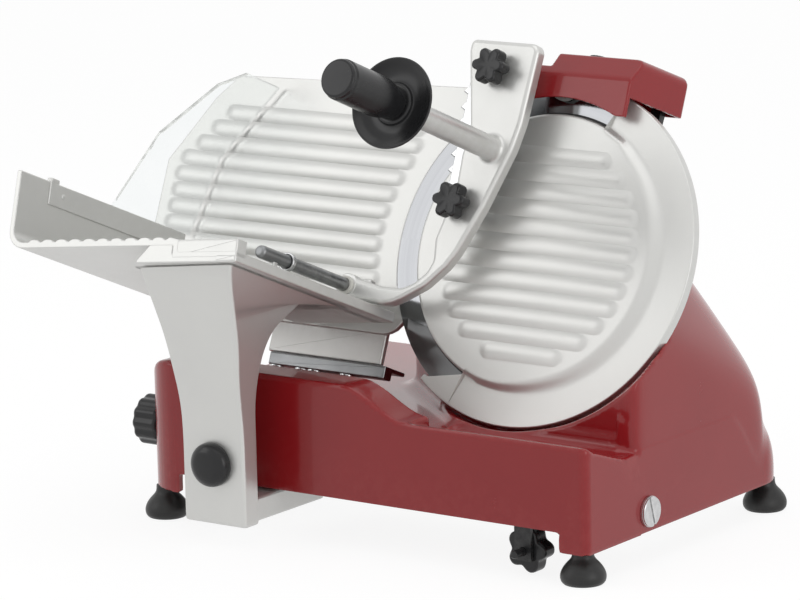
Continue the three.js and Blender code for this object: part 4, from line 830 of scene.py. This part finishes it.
# Ribs like fingers: the height times the cosine of a quarter turn by how far a point is from the
# rib's middle line, to the power 0.85, and the same round both tips.
def fingers(x, v, top, pitch, count, tips, height):
    number = np.clip(np.floor((top - v) / pitch), 0, count - 1)
    centre = top - (number + 0.5) * pitch
    left, right = tips(centre)
    half = pitch / 2
    past = np.maximum.reduce([left + half - x, x - right + half, np.zeros_like(x)]) / half
    reach = np.minimum(np.hypot((v - centre) / half, past), 1)
    return height * np.maximum(np.cos(reach * math.pi / 2), 0) ** 0.85


# The blade, and the cover with the guard round its right side in one casting.
blade = {"profile": [(20, -0.64), (107, -0.64), (116, 0), (125, 0), (125, -0.32), (116, -3.2), (20, -3.2)]}
disc = turned(blade["profile"], 256, closed=True)
put("bladeDisc", disc, bladeFrame, "blade", "blade_steel", ["blade"], crease=20)

cover = {
    "plateau": 92, "face": 7.4, "back": 0.6, "radius": 103.7, "edge": 2.2, "wall": 2.4, "columns": 90,
    "ribTop": 78.25, "ribPitch": 13.45, "ribCount": 12, "ribHeight": 1.15, "ribReach": (82, 86.5),
    "step": (95, 107), "stepEnds": (101.6, 105.2), "rings": (93.5, 95, 96.5, 98, 99.5, 101),
    "ringRadius": 130.5, "ringFace": 3.6, "ringDepth": -5, "ringWall": 3.5, "ringEdge": 0.9, "blend": 20,
    "ringStart": -113.2, "ringEnd": 68.5, "ringEndAngles": [0, 0.08, 0.6, 1.4], "ringEndInsets": [4, 4, 1, 0],
    "tail": -127.6, "tailCorners": ((-41, -95.7), (-80, -102)), "tailInside": 126, "tailRows": 18,
    # the section of a black ring at the cover's edge: painted shade for the shadowed gap between the cover
    # and the guard
    "gapShade": [(101, 0.15), (105.5, 0.15), (105.5, 2), (101, 2)],
}


# A ribbed disc, cut in rows that follow its ribs, and its edge in loops: the height falls by a smooth
# step from the disc's face to the guard's, and the outer radius jumps where the guard starts and ends.
def coverCasting():
    c = cover
    flat = c["plateau"]

    def tips(v):
        near, far = c["ribReach"]
        return -np.sqrt(np.maximum(near**2 - v**2, 0)), np.sqrt(np.maximum(far**2 - v**2, 0))

    def face(x, v):
        return c["face"] + fingers(x, v, c["ribTop"], c["ribPitch"], c["ribCount"], tips, c["ribHeight"])

    start, end = math.radians(c["ringStart"]), math.radians(c["ringEnd"])
    corner = np.radians([-0.08, *c["ringEndAngles"][1:]])
    marks = np.concatenate([flat * np.sin(start + corner), flat * np.sin(end - corner)])
    # rows close in on the disc's top and bottom, and stand by both ends of the guard
    ends = flat * np.sin(np.linspace(0, 1, 8) * 0.4 + math.pi / 2 - 0.4)
    rows = np.unique(np.concatenate([-ends, ribRows(c["ribTop"], c["ribPitch"], c["ribCount"]), ends, marks]))
    rows = rows[np.concatenate([[True], np.diff(rows) > 0.02])]
    half = np.sqrt(np.maximum(flat**2 - rows**2, 0))
    x = half[:, None] * np.linspace(-1, 1, c["columns"])
    v = np.broadcast_to(rows[:, None], x.shape)
    plateau = np.stack([x, v, face(x, v)], -1).reshape(-1, 3), gridFaces(*x.shape, False, False)

    right = np.arcsin(np.clip(rows / flat, -1, 1))
    turn = np.concatenate([right, math.pi - right[-2:0:-1]])
    wrapped = (turn + math.pi) % (2 * math.pi) - math.pi
    inside = (wrapped > start) & (wrapped < end)
    gap = np.degrees(np.minimum(wrapped - start, end - wrapped))
    inset = np.interp(np.degrees(end - wrapped), c["ringEndAngles"], c["ringEndInsets"])
    outer = np.where(inside, c["ringRadius"] - inset, c["radius"])
    spread = smoothStep((gap - 2) / c["blend"]) * smoothStep(np.degrees(wrapped - start) / 40)
    near, far = (a + (b - a) * spread for a, b in zip(c["stepEnds"], c["step"]))
    deep = np.where(inside, c["ringDepth"], c["back"])
    wall = np.where(inside, c["ringWall"], c["wall"])

    def height(radius):
        low = c["face"] - (c["face"] - c["ringFace"]) * smoothStep((radius - near) / (far - near))
        return np.where(inside, low, c["face"])

    soft = np.where(inside, c["ringEdge"], c["edge"])
    layers = [(np.full_like(outer, radius), height(radius)) for radius in (flat, *c["rings"])]
    last, reach = c["rings"][-1], outer - soft
    for share in (0.06, 0.12, 0.18, 0.26, 0.4, 0.65, 1):
        radius = last + (reach - last) * share
        layers.append((radius, height(radius)))
    top = height(reach)
    for angle in np.radians([25, 50, 70, 90]):
        layers.append((reach + soft * np.sin(angle), top - soft * (1 - np.cos(angle))))
    back = np.full_like(outer, c["back"])
    layers += [(outer, deep + 0.8), (outer - 0.8, deep), (outer - wall + 0.6, deep)]
    layers += [(outer - wall, np.minimum(deep + 0.6, c["back"])), (outer - wall, back)]
    layers.append((np.full_like(outer, flat), back))
    radii, heights = (np.array(part) for part in zip(*layers))
    verts = np.stack([radii * np.cos(turn), radii * np.sin(turn), heights], -1).reshape(-1, 3)
    faces = gridFaces(len(layers), len(turn))
    first = (len(layers) - 1) * len(turn)
    faces.append(list(range(first, first + len(turn))))
    return together(plateau, (verts, faces), guardTail())


# The guard's end: one section carried round the ring; each ray's inner end is on a straight line.
def guardTail():
    c = cover
    (ax, av), (bx, bv) = c["tailCorners"]
    angles = np.radians(np.linspace(c["tail"], c["ringStart"] + 0.3, c["tailRows"]))
    cross = ax * (bv - av) - av * (bx - ax)
    inner = cross / (np.cos(angles) * (bv - av) - np.sin(angles) * (bx - ax))
    inner = np.minimum(inner, c["tailInside"])
    rim, face, low, back = c["ringRadius"], c["ringFace"], c["ringDepth"], c["back"]
    loop = [(inner, face - 1), (inner + 0.3, face - 0.25), (inner + 1, face), (rim - 0.9, face)]
    loop += [(rim - 0.25, face - 0.3), (rim, face - 0.9), (rim, low + 0.8), (rim - 0.8, low)]
    loop += [(rim - c["ringWall"], low), (rim - c["ringWall"], back), (inner, back)]
    radius, rise = (np.stack([np.broadcast_to(r, angles.shape) for r in part], 1) for part in zip(*loop))
    verts = np.stack([radius * np.cos(angles)[:, None], radius * np.sin(angles)[:, None], rise], -1)
    return verts.reshape(-1, 3), tubeFaces(len(angles), len(loop))


put("coverAndGuard", coverCasting(), bladeFrame, "base", "cast_aluminium", ["cover_disc", "ring_guard"],
    crease=40)
# A black rubber ring just inside the cover's edge is painted shade: a dark band put where the gap between the
# cover and the guard falls into shadow.
gapShade = turned(rounded(cover["gapShade"], 0.4, 2), 256, closed=True)
put("coverGapShade", gapShade, bladeFrame, "base", "black_rubber")
print("blade and cover ready")

# The gauge plate, its flange, bar and bolts.
gauge = {
    "left": [(-73, -338), (-56, -362), (42, -362), (95, -328), (113, -310)],
    "bladeRoom": 126.6, "low": -73, "level": 98, "topLeft": 113, "topRight": 121,
    "foot": (-126.6, -55, 18), "footTop": (-36, -121.4), "ribGuard": -108.6, "ribStart": (10, 18, 42, 71),
    "face": -2.6, "back": -7, "edge": 1.2, "columns": 104, "rows": (-69, -64, -60, -56, 94),
    "ribTop": 90.5, "ribPitch": 12.95, "ribCount": 11, "ribHeight": 1.3, "ribEnd": 17,
    "flange": (-232, -126.6, -96, -68, -14, -9), "web": (-232, -126.6, -73.5, -68, -14, -4.5),
    "bar": [(-228, -120, -106.3, -96.3, -17.5, -7), (-227.9, -120.1, -99.6, -96.4, -34, -8)],
    "boltRow": (-228, 108), "boltShares": (0.05, 0.27, 0.38, 0.66), "boltHeights": (-111.6, -106.4),
    "boltPlace": -12, "boltRadius": 4.5,
}


# The plate's right edge: an arc at its foot, a straight run, then clear of the blade by a circle.
def gaugeRight(v):
    g = gauge
    x, low, radius = g["foot"]
    top, end = g["footTop"]
    free = -np.sqrt(np.maximum(g["bladeRoom"] ** 2 - v**2, 1))
    foot = x + np.sqrt(np.maximum(radius**2 - np.minimum(v - low, 0) ** 2, 0))
    between = np.interp(v, [low, top], [x + radius, end])
    return np.where(v < low, foot, np.where(v < top, between, free))


# Rows between the left and right edges, dense where ribs meet, with the ribs as the face's height.
def gaugeFace():
    g = gauge
    levels, lefts = np.array(g["left"], float).T

    def tips(v):
        inset, more, start, over = g["ribStart"]
        left = np.interp(v, levels, lefts) + inset + more * np.clip((v - start) / over, 0, 1)
        return left, np.minimum(gaugeRight(v), g["ribGuard"]) - g["ribEnd"]

    def face(x, v):
        return g["face"] + fingers(x, v, g["ribTop"], g["ribPitch"], g["ribCount"], tips, g["ribHeight"])

    edges = edgeShares * g["edge"]
    ribs = ribRows(g["ribTop"], g["ribPitch"], g["ribCount"])
    level = np.unique(np.round(np.concatenate([g["low"] + edges, g["rows"], ribs, [g["level"]]]), 3))
    shares = np.concatenate([[0.25, 0.5, 0.75], 1 - edges[::-1] / 18])  # rows of the slanting top
    left, right = (np.concatenate([level, g["level"] + (g[top] - g["level"]) * shares])
                   for top in ("topLeft", "topRight"))
    start = np.interp(left, levels, lefts)
    width = (gaugeRight(right) - start)[:, None]
    share = across(width[:, 0], g["edge"], g["columns"]) / width
    x = start[:, None] + width * share
    v = left[:, None] + (right - left)[:, None] * share
    return slab(np.stack([x, v], -1), face, g["back"], g["edge"])


# A six-sided head with soft corners on a round washer.
def hexHead(x, n, low, high, radius):
    turn = np.radians(np.arange(6) * 60 + 15)
    outline = rounded(np.column_stack([x + radius * np.cos(turn), n + radius * np.sin(turn)]), 0.4, 2)
    head = carried(outline, [(1.1, low), (0.5, low + 0.25), (0, low + 0.8), (0, high)])
    rim = radius + 1.2
    ring = [(0, high - 1.2), (radius + 1, high - 1.2), (rim, high - 0.9), (rim, high), (0, high)]
    return along("y", together(head, turned(ring, 40, (x, n))))


plate = together(gaugeFace(), block(*gauge["flange"], 1.3), block(*gauge["web"], 1.3))
put("gaugePlate", plate, bladeFrame, "gauge", "cast_aluminium", ["gauge_plate"], crease=45)
bar = together(*(block(*part, 1.1) for part in gauge["bar"]))
put("gaugeBar", bar, bladeFrame, "gauge", "dark_steel", ["gauge_support_bar"])
for number, share in enumerate(gauge["boltShares"], 1):
    start, length = gauge["boltRow"]
    bolt = hexHead(start + length * share, gauge["boltPlace"], *gauge["boltHeights"], gauge["boltRadius"])
    put("gaugeBolt%d" % number, bolt, bladeFrame, "gauge", "bright_steel", ["gauge_bolt_%d" % number])
print("gauge ready")

# The product tray, its leg and its clear guard. Blocks are low and high places on each axis.
tray = {
    "section": [(-52, 0), (-204, 0), (-204, 54.6), (-208, 54.6), (-208, -4.5),
                (-56.5, -4.5), (-56.5, -13.5), (0, -13.5), (0, -9), (-52, -9)],
    "sectionRadii": [1, 10, 1.2, 1.2, 14, 1.2, 1.2, 1.2, 1.2, 1],
    "back": 9.4, "front": 213, "edge": 0.6, "floor": (-60, 150),
    "ribStart": -184, "ribPitch": 12.6, "ribCount": 11, "ribRadius": 4.8, "ribHeight": 1.8,
    "lip": (-55, 0, -13.5, -0.1, 201, 212.9), "ledge": (-205, -202.8, 37, 54, 9.6, 179),
    "tab": (-208, -203.4, 53.6, 57.6, 168, 178), "screw": (46, 163),
    "screwProfile": [(0, -202.2), (1.3, -202.2), (2, -202.5), (2, -203.2), (0, -203.2)],
    "pad": [(-90, -17), (-9, -17), (-9, -11.2), (-56.5, -11.2), (-56.5, -2.2), (-76, -2.2)],
    "beam": (-18, 0, -17, -11.2, 9.4, 213), "rod": (-28.5, 6.2), "rodFoot": -10.5,
    "post": (9, 9, 9.4, 17.7), "saddle": (2.5, -2.6, 127, 132),
}


# The tray's section with ribs along its floor, each one its height times the root of 1 - share squared.
def traySection():
    t = tray
    sides = rounded(t["section"], t["sectionRadii"], 7)
    start, radius, pitch = t["ribStart"], t["ribRadius"], t["ribPitch"]
    a = np.linspace(t["floor"][0], start - radius, t["floor"][1])
    reach = np.abs((a - start + pitch / 2) % pitch - pitch / 2) / radius
    inside = (a > start - radius) & (a < start + pitch * (t["ribCount"] - 1) + radius)
    floor = np.where(inside, t["ribHeight"] * np.sqrt(np.maximum(1 - reach**2, 0)), 0)
    first = np.nonzero((np.abs(sides[:, 1]) < 1e-6) & (sides[:, 0] < -150))[0][0]
    return np.concatenate([sides[:first], np.column_stack([a, floor]), sides[first:]])


# The section carried from back to front, with the pad, ledge, tab and rod holders under and beside it.
def trayShape():
    t = tray
    low, high = t["back"], t["front"]
    whole = carried(traySection(), softEnds(low, high, t["edge"], 3, 0.15))
    pad = carried(rounded(t["pad"], 1.4, 3), softEnds(low + 0.1, high - 0.1, 0.8, 3))
    screw = along("x", turned(t["screwProfile"], 24, t["screw"]))
    a, b = t["rod"]
    parts = [(*t["lip"], 1.1), (*t["ledge"], 0.8), (*t["tab"], 1), (*t["beam"], 1.2)]
    for (side, over, start, end), edge in ((t["post"], 2.5), (t["saddle"], 0.8)):
        parts.append((a - side, a + side, t["rodFoot"], b + over, start, end, edge))
    return together(whole, pad, screw, *(block(*part) for part in parts))


put("productTray", trayShape(), trayFrame, "carriage", "cast_aluminium", ["product_tray"], crease=40)

guard = {
    "line": [(-206, 54.9), (-186, 115.4), (-137.5, 169.9)], "fold": 6,
    "thickness": 3, "start": 2, "edge": 0.5,
    "reach": [(54.9, 100), (115.9, 80), (158.9, 62), (169.9, 44)],
}


# The sheet's middle line, with a soft-edged section at each place up to the front edge.
def guardSheet():
    line = rounded(guard["line"], guard["fold"], 6, closed=False)
    pairs = zip(line[:-1], line[1:])
    line = np.concatenate([np.linspace(a, b, 4, endpoint=False) for a, b in pairs] + [line[-1:]])
    slope = np.gradient(line, axis=0)
    slope /= np.linalg.norm(slope, axis=1, keepdims=True)
    normal = np.column_stack([-slope[:, 1], slope[:, 0]])
    reach = np.interp(line[:, 1], *np.array(guard["reach"]).T)
    half, soft = guard["thickness"] / 2, guard["edge"]
    ring = [(-half, soft), (-half + soft, 0), (half - soft, 0), (half, soft)]
    offsets, insets = np.array(ring + ring[::-1]).T
    far = np.arange(len(insets)) >= len(ring)
    n = np.where(far, reach[:, None] - insets, guard["start"] + insets)
    points = line[:, None] + normal[:, None] * offsets[:, None]
    verts = np.concatenate([points, n[..., None]], -1).reshape(-1, 3)
    return verts, tubeFaces(len(line), len(insets))


put("trayGuard", guardSheet(), trayFrame, "carriage", "clear_plastic", ["tray_guard"], crease=30)

leg = {
    "left": 77.5, "right": 134, "flare": 34, "height": 240, "front": -42, "lean": 50, "thickness": 17,
    "sweep": 55, "footShares": [0.075, 0.0762, 0.079, 0.084], "footInsets": [2, 0.9, 0.25, 0],
    "frontShares": [(0.075, 0), (0.354, 0), (0.45, 0.04), (0.55, 0.18), (0.667, 0.36), (0.883, 0.84), (1, 1)],
    "backShares": [(0.075, 0), (0.583, 0), (0.646, 0.036), (0.7, 0.18), (0.7375, 0.45), (0.76, 1), (1, 1.3)],
    "sideShares": [(0.075, 0), (0.458, 0), (0.55, 0.12), (0.667, 0.35), (0.883, 0.76), (1, 1)],
    "edge": 2.4, "padUnder": -17.3, "rows": 70,
    "cap": [(16.2, 0), (16.5, 1.2), (16.4, 3.7), (15.2, 7), (12.2, 9.4), (8, 10.6), (0, 11)],
    "capPlace": (105.75, 63.5, -42.3), "arm": (83.5, 128, -24.7, 61.7, 18, 36),
}


# Straight runs between shares, softened by the mean of what lies a little below and above each place.
def eased(shares, at):
    knots = np.array(shares, float)
    places = np.linspace(0, 1.2, 241)
    once = np.interp(places, knots[:, 0], knots[:, 1])
    shifts = np.linspace(-0.05, 0.05, 11)[:, None]
    return np.mean(np.interp(at[None] + shifts, places, once), axis=0)


# The leg: at each height a rectangle with round corners, cut off by the underside of the tray's pad.
def legShape():
    g = leg
    share = np.concatenate([g["footShares"], np.linspace(0.09, 1, g["rows"])])
    inset = np.interp(share, g["footShares"], g["footInsets"])
    front = g["front"] - g["lean"] * eased(g["frontShares"], share)
    back = g["front"] + g["thickness"] + g["sweep"] * eased(g["backShares"], share)
    right = g["right"] + g["flare"] * eased(g["sideShares"], share)
    rows = []
    for x1, y0, y1, z, cut in zip(right - inset, front + inset, back - inset, share * g["height"], inset):
        x0 = g["left"] + cut
        rows.append(raised(rounded([(x0, y0), (x1, y0), (x1, y1), (x0, y1)], g["edge"], 5), z))
    verts = np.array(rows)
    origin = trayFrame[0] - baseFrame[0]
    up = trayFrame[1][1]
    top = (g["padUnder"] + up @ origin - verts[..., :2] @ up[:2]) / up[2]
    verts[..., 2] = np.minimum(verts[..., 2], top)
    return verts.reshape(-1, 3), tubeFaces(*verts.shape[:2])


put("carriageLeg", legShape(), baseFrame, "carriage", "cast_aluminium", ["carriage_leg"], crease=35)
capProfile = np.concatenate([[(0, 0)], flowing(leg["cap"], 5)]) * (1, -1)
cap = along("y", moved(turned(capProfile, 72), leg["capPlace"]))
put("legCap", cap, baseFrame, "carriage", "black_plastic", ["leg_cap"], crease=50)
put("carriageArm", block(*leg["arm"], 2), baseFrame, "carriage", "cast_aluminium", ["carriage_arm"])
print("tray and leg ready")

# The pusher: rod, arm, toothed plate, handle and its two star knobs. Profiles are (radius, height).
pusher = {
    "hub": (-140, -46), "reach": 126, "rise": 194, "low": 26, "high": 36, "edge": 3.2,
    "left": [(0.52, 1), (0.517, 0.954), (0.651, 0.608), (0.613, 0.567), (0.622, 0.418), (0.552, 0.216),
             (0.571, 0.134), (0.542, 0.088), (0.468, 0.041), (0.389, 0.0155), (0.246, 0.0134),
             (0.032, 0.036)],
    "right": [(0, -0.048), (0.317, -0.0567), (0.405, -0.028), (0.548, 0.031), (0.667, 0.113), (0.72, 0.166),
              (0.838, 0.3505), (0.956, 0.586), (0.984, 0.691), (1, 1)],
    "radii": [7, 9, 4, 14, 30, 12, 10, 12, 14, 14, 16, 3, 3, 24, 26, 26, 24, 60, 90, 60, 60, 7],
    "hubRing": [(6.9, 25.2), (8.6, 25.2), (9.3, 26), (9.3, 35.2), (8.4, 36.3), (6.9, 36.3)],
    "handle": (-37, 67),
    "socket": [(8.5, 35.4), (13, 35.9), (11.2, 36.15), (10.1, 36.8), (9.4, 38.2), (9.1, 40), (8.5, 40)],
    "rod": [(0, 26.5), (4.7, 26.5), (5, 27), (5, 35.8), (9, 36.3), (9, 225.6), (8.4, 226), (0, 226)],
    "discUnder": [(9.3, 160.4), (14, 160), (22, 160.1), (28, 162.6), (32.8, 166.4), (33.5, 167.6)],
    "discOver": [(33.4, 168.7), (32, 168.6), (27, 165.8), (21, 164.2), (16.6, 164.4), (15.6, 165.4),
                 (15, 166.8), (13.6, 167.5)],
    "gripFoot": [(0, 226.3), (9.3, 226.3), (9.3, 168), (12.2, 168), (12.5, 168.4)],
    "gripSide": [(12.6, 172), (13, 176), (14.2, 181), (14.9, 187), (15, 200), (15, 232.2)],
    "gripTop": [(14.4, 232.9), (14.1, 233.4), (14.1, 235.8), (13.4, 237), (12, 237.4)],
    "stars": [("starKnobUpper", "star_knob_upper", (-46, 126)),
              ("starKnobLower", "star_knob_lower", (-56, 24))],
    "starLobes": (14, 4.2, 6, 1.5, 24), "starHeights": (39.3, 51.3),
    "starStem": [(0, 22), (2.7, 22), (3, 22.4), (3, 36.2), (6, 36.3), (6, 39.5), (0, 39.5)],
    "toothed": (-75, 22, 39, 96), "toothedHeights": (20.7, 25.7), "teeth": 8, "toothPitch": 12,
    "toothedShares": [(0, 0), (0.2, -0.08), (0.74, -0.08), (1, 0.4), (1, 1.17), (0.49, 1.17), (0, 1)],
    "slideRod": [(0, 12.2), (4.2, 12.2), (5, 13), (5, 112.2), (4.7, 112.6), (4.7, 113.2), (5, 113.6)],
    "slideTip": [(4.9, 144.5), (4.6, 146.4), (3.6, 147.6), (2, 148), (0, 148)],
    "collar": [(5.3, 110), (7, 110), (7, 114), (5.3, 114)],
}


# The arm: its outline between soft ends, a ring round the rod and a flared socket for the handle.
def armShape():
    p = pusher
    outline = np.array(p["left"] + p["right"]) * (p["reach"], p["rise"]) + p["hub"]
    low = p["low"]
    layers = softEnds(low, p["high"], p["edge"], 5, 0.1)[6:]
    body = carried(rounded(outline, p["radii"], 7), [(0.9, low), (0.3, low + 0.25), (0, low + 0.9), *layers])
    rings = turned(p["hubRing"], 64, p["hub"], True), turned(p["socket"], 64, p["handle"], True)
    return together(body, *rings)


# A knob of six lobes on a stepped stem.
def starShape(centre):
    body = knob(lobes(*pusher["starLobes"]), centre, *pusher["starHeights"], 2.4, 0.8)
    return together(body, turned(pusher["starStem"], 32, centre))


# A flat plate with a row of three-sided teeth along its left edge.
def toothShape():
    x0, v0, width, length = pusher["toothed"]
    low, high = pusher["toothedHeights"]
    outline = np.array(pusher["toothedShares"]) * (width, length) + (x0, v0)
    parts = [carried(rounded(outline, 2, 3), softEnds(low, high, 0.7, 3))]
    for v in v0 + pusher["toothPitch"] * np.arange(pusher["teeth"]):
        corners = rounded([(x0 - 4.4, v + 4), (x0 + 2, v + 0.6), (x0 + 2, v + 11.4)], 0.5, 2)
        parts.append(carried(corners, [(0.5, low + 0.1), (0, low + 0.6), (0, high - 1.1), (0.9, high - 0.1)]))
    return together(*parts)


put("pusherArm", armShape(), bladeFrame, "pusher", "cast_aluminium", ["pusher_arm"], crease=35)
put("toothedPlate", toothShape(), bladeFrame, "pusher", "bright_steel", ["toothed_plate"])
slideRod = np.concatenate([pusher["slideRod"], flowing(pusher["slideTip"], 4)])
slideRod = turned(slideRod, 48, pusher["hub"])
put("pusherRod", slideRod, bladeFrame, "carriage", "dark_steel", ["pusher_rod"], crease=50)
collar = turned(rounded(pusher["collar"], 0.7, 3), 48, pusher["hub"], True)
put("rodCollar", collar, bladeFrame, "carriage", "bright_steel", ["rod_collar"], crease=50)
handleRod = turned(pusher["rod"], 72, pusher["handle"])
put("handleRod", handleRod, bladeFrame, "pusher", "cast_aluminium", ["handle_rod"])
disc = [flowing(pusher["discUnder"], 5), flowing(pusher["discOver"], 5), [(9.3, 167.6)]]
disc = turned(np.concatenate(disc), 128, pusher["handle"], True)
put("handleDisc", disc, bladeFrame, "pusher", "black_plastic", ["handle_disc"], crease=50)
grip = [pusher["gripFoot"], flowing(pusher["gripSide"], 5), flowing(pusher["gripTop"], 3), [(0, 237.4)]]
grip = turned(np.concatenate(grip), 96, pusher["handle"])
put("handleGrip", grip, bladeFrame, "pusher", "black_plastic", ["handle_grip"], crease=40)
for name, node, centre in pusher["stars"]:
    put(name, starShape(centre), bladeFrame, node, "black_plastic", [node], crease=50)
print("pusher ready")

# The sharpener's red cover, open below.
sharpener = {
    "left": -28, "front": 15, "back": -46, "low": 118.6, "apron": 104, "top": 150, "fold": 132, "brow": 3,
    "right": 57, "flare": 0.17, "wall": 3, "notch": (-17, 138), "edge": 1.5, "step": 1.15,
    "corner": (9, 141), "rooms": [(-24.8, 120), (-12.2, 132), (0, 114.5)],
    "box": ((-31, 100, -50), (72, 154, 19)),
    "screw": (-4, -30), "screwLobes": (7.5, 0.6, 18, 1, 8), "screwHeights": (150.3, 156.3),
    "screwShank": [(0, 128.5), (3, 128.5), (3, 150.4), (0, 150.4)],
    "lever": (50, 122), "leverFoot": [(46, 108), (54, 108)], "leverRadius": 5, "leverHeights": (-42.7, -36.2),
    "leverPin": [(0, -46), (2.6, -46), (3, -45.6), (3, -39), (0, -39)],
}


# A shell of six planes and a round corner, hollow by its wall, open below and clear of the blade.
def sharpenerSkin():
    s = sharpener
    rise, run = s["top"] - s["fold"], s["front"] - s["brow"]

    def shell(x, v, n, inset):
        right = s["right"] + s["flare"] * (s["front"] - n)
        slope = ((n - s["front"]) * rise + (v - s["fold"]) * run) / math.hypot(rise, run)
        radius, start = s["corner"]
        corner = np.hypot(np.maximum(v - start, 0), np.maximum(x - right + radius, 0)) - radius
        field = s["left"] - x + inset
        for side in ((x - right) * 0.98, v - s["top"], n - s["front"], s["back"] - n, slope, corner):
            field = larger(field, side + inset, s["edge"])
        return field

    def field(x, v, n):
        low = np.where(n > s["front"] - s["wall"], s["apron"], s["low"])
        out = larger(shell(x, v, n, 0), low - v, 0.8)
        nx, nv = s["notch"]
        out = larger(out, -larger(x - nx, nv - v, 1), 1)
        room = 0
        for start, radius in s["rooms"]:
            room = np.where(n > start, radius, room)
        out = larger(out, room - np.hypot(x, v), 0.8)
        hollow = np.maximum(shell(x, v, n, s["wall"]), nx - x + s["wall"] - np.maximum(nv - v, 0) * 9)
        return larger(out, -hollow, 0.6)

    return skinOf(field, *s["box"], s["step"])


put("sharpenerCover", sharpenerSkin(), bladeFrame, "sharpener", "red_paint", ["sharpener_body"],
    crease=50, flatten=0.25)
screw = knob(lobes(*sharpener["screwLobes"]), sharpener["screw"], *sharpener["screwHeights"], 1.2, 0.1)
screw = along("y", together(screw, turned(sharpener["screwShank"], 24, sharpener["screw"])))
put("sharpenerScrew", screw, bladeFrame, "sharpener", "black_plastic", ["sharpener_screw"])
turn = np.linspace(0, math.pi, 14)
lever = sharpener["leverRadius"] * np.column_stack([np.cos(turn), np.sin(turn)]) + sharpener["lever"]
lever = np.concatenate([sharpener["leverFoot"], lever])
lever = carried(lever, softEnds(*sharpener["leverHeights"], 1, 3))
lever = together(lever, turned(sharpener["leverPin"], 32, sharpener["lever"]))
put("stoneLever", lever, bladeFrame, "stone_lever", "black_plastic", ["stone_lever"])
print("sharpener ready")

# Feet, plugs, knobs and switches on the base. Profiles are (radius, height).
fittings = {
    "feet": [("footFrontLeft", "foot_front_left"), ("footFrontRight", "foot_front_right"),
             ("footRearLeft", "foot_rear_left"), ("footRearRight", "foot_rear_right")],
    "footSole": [(0, 0.1), (14.2, 0.1), (15, 0.8)],
    "footSide": [(16, 2.2), (16.5, 4.6), (16.2, 7.6), (14.6, 11.2), (12, 14.6), (9.4, 17.4), (8, 20),
                 (7.6, 24.2)],
    "rod": (80, 40), "plugRadius": 11, "slot": 1.0, "slotTurn": 0.28,
    "plugLayers": [(0, 2), (0, 3.3), (0.5, 3.8)], "plugDisc": [(0, 0.3), (11.3, 0.3), (11.3, 2.1), (0, 2.1)],
    "plugShank": [(0, -12), (6, -12), (6, 0.4), (0, 0.4)],
    "index": (41, 66), "indexLobes": (19.5, 1.2, 12, 1.2, 12), "indexHeights": (-23.5, -0.3),
    "coverLobes": (21, 2.8, 8, 1.2, 14), "coverHeights": (-147.3, -131.3),
    "lock": (345, 19), "lockLobes": (17, 4.4, 5, 1.3, 24), "lockHeights": (9.6, 23.6),
    "lockStud": [(0, -5), (2.5, -5), (3, -4.4), (3, 14), (0, 14)],
    "housing": [(144, 45), (206, 45), (206, 79), (144, 79)], "housingHeights": (-9.3, -0.3),
    "buttons": [("startButton", "start_button", "green_plastic", (190, 62)),
                ("stopButton", "stop_button", "red_plastic", (160, 62))],
    "button": [(0, -14), (6.5, -13.6), (8.4, -12.8), (9, -11.6), (9, -6.5), (0, -6.5)],
    "gland": (60, 50, 278), "glandFoot": [(4, -6), (7, -6), (7, 0.3), (9, 0.3), (9, 5.3)],
}
foot = np.concatenate([fittings["footSole"], flowing(fittings["footSide"], 4), [(0, 24.2)]])
for (name, node), place in zip(fittings["feet"], casting["feet"]):
    put(name, turned(foot, 64, place), baseFrame, "base", "black_rubber", [node], crease=50)


# A round head with a driver's slot across it: two half discs on a plate, and a shank behind.
def slottedPlug(face, outward):
    radius, (y, z) = fittings["plugRadius"], fittings["rod"]
    start = math.asin(fittings["slot"] / radius)
    parts = []
    for profile, sides in ((fittings["plugDisc"], 72), (fittings["plugShank"], 40)):
        parts.append(turned([(reach, face + outward * rise) for reach, rise in profile], sides, (y, z)))
    for side in (0, -math.pi):
        angle = start + (math.pi - 2 * start) * np.linspace(0, 1, 40) + side + fittings["slotTurn"]
        outline = np.column_stack([y + radius * np.sin(angle), z - radius * np.cos(angle)])
        layers = [(inset, face + outward * rise) for inset, rise in fittings["plugLayers"]]
        parts.append(carried(outline, layers))
    return along("x", together(*parts))


put("rodPlugLeft", slottedPlug(0, -1), baseFrame, "base", "bright_steel", ["rod_plug_left"])
put("rodPlugRight", slottedPlug(casting["length"], 1), baseFrame, "base", "bright_steel", ["rod_plug_right"])
indexKnob = knob(lobes(*fittings["indexLobes"]), fittings["index"], *fittings["indexHeights"], 3.6)
put("indexKnob", along("x", indexKnob), baseFrame, "index", "black_plastic", ["index_knob"], crease=50)
coverKnob = knob(lobes(*fittings["coverLobes"]), (0, 0), *fittings["coverHeights"], 3)
put("coverKnob", coverKnob, bladeFrame, "cover_knob", "black_plastic", ["cover_knob"], crease=50)
lockKnob = knob(lobes(*fittings["lockLobes"]), fittings["lock"], *fittings["lockHeights"], 2.6)
lockKnob = along("y", together(lockKnob, turned(fittings["lockStud"], 32, fittings["lock"])))
put("lockKnob", lockKnob, baseFrame, "lock_knob", "black_plastic", ["lock_knob"], crease=50)
housing = carried(rounded(fittings["housing"], 6, 6), softEnds(*fittings["housingHeights"], 2.2, 4, 0.3))
put("switchHousing", along("x", housing), baseFrame, "base", "black_plastic", ["switch_housing"], crease=50)
for name, node, slot, centre in fittings["buttons"]:
    button = along("x", turned(fittings["button"], 56, centre))
    put(name, button, baseFrame, node, slot, [node], crease=50)
grooves = [((8.8 if i % 2 else 8) - 0.1 * i, 6 + 1.6 * i) for i in range(9)]
gland = turned(fittings["glandFoot"] + grooves + [(6.6, 20), (4, 20)], 48, closed=True)
gland = along("y", moved(gland, fittings["gland"]))
put("cordGland", gland, baseFrame, "base", "black_rubber", ["cord_gland"], crease=30)
print("small pieces ready")
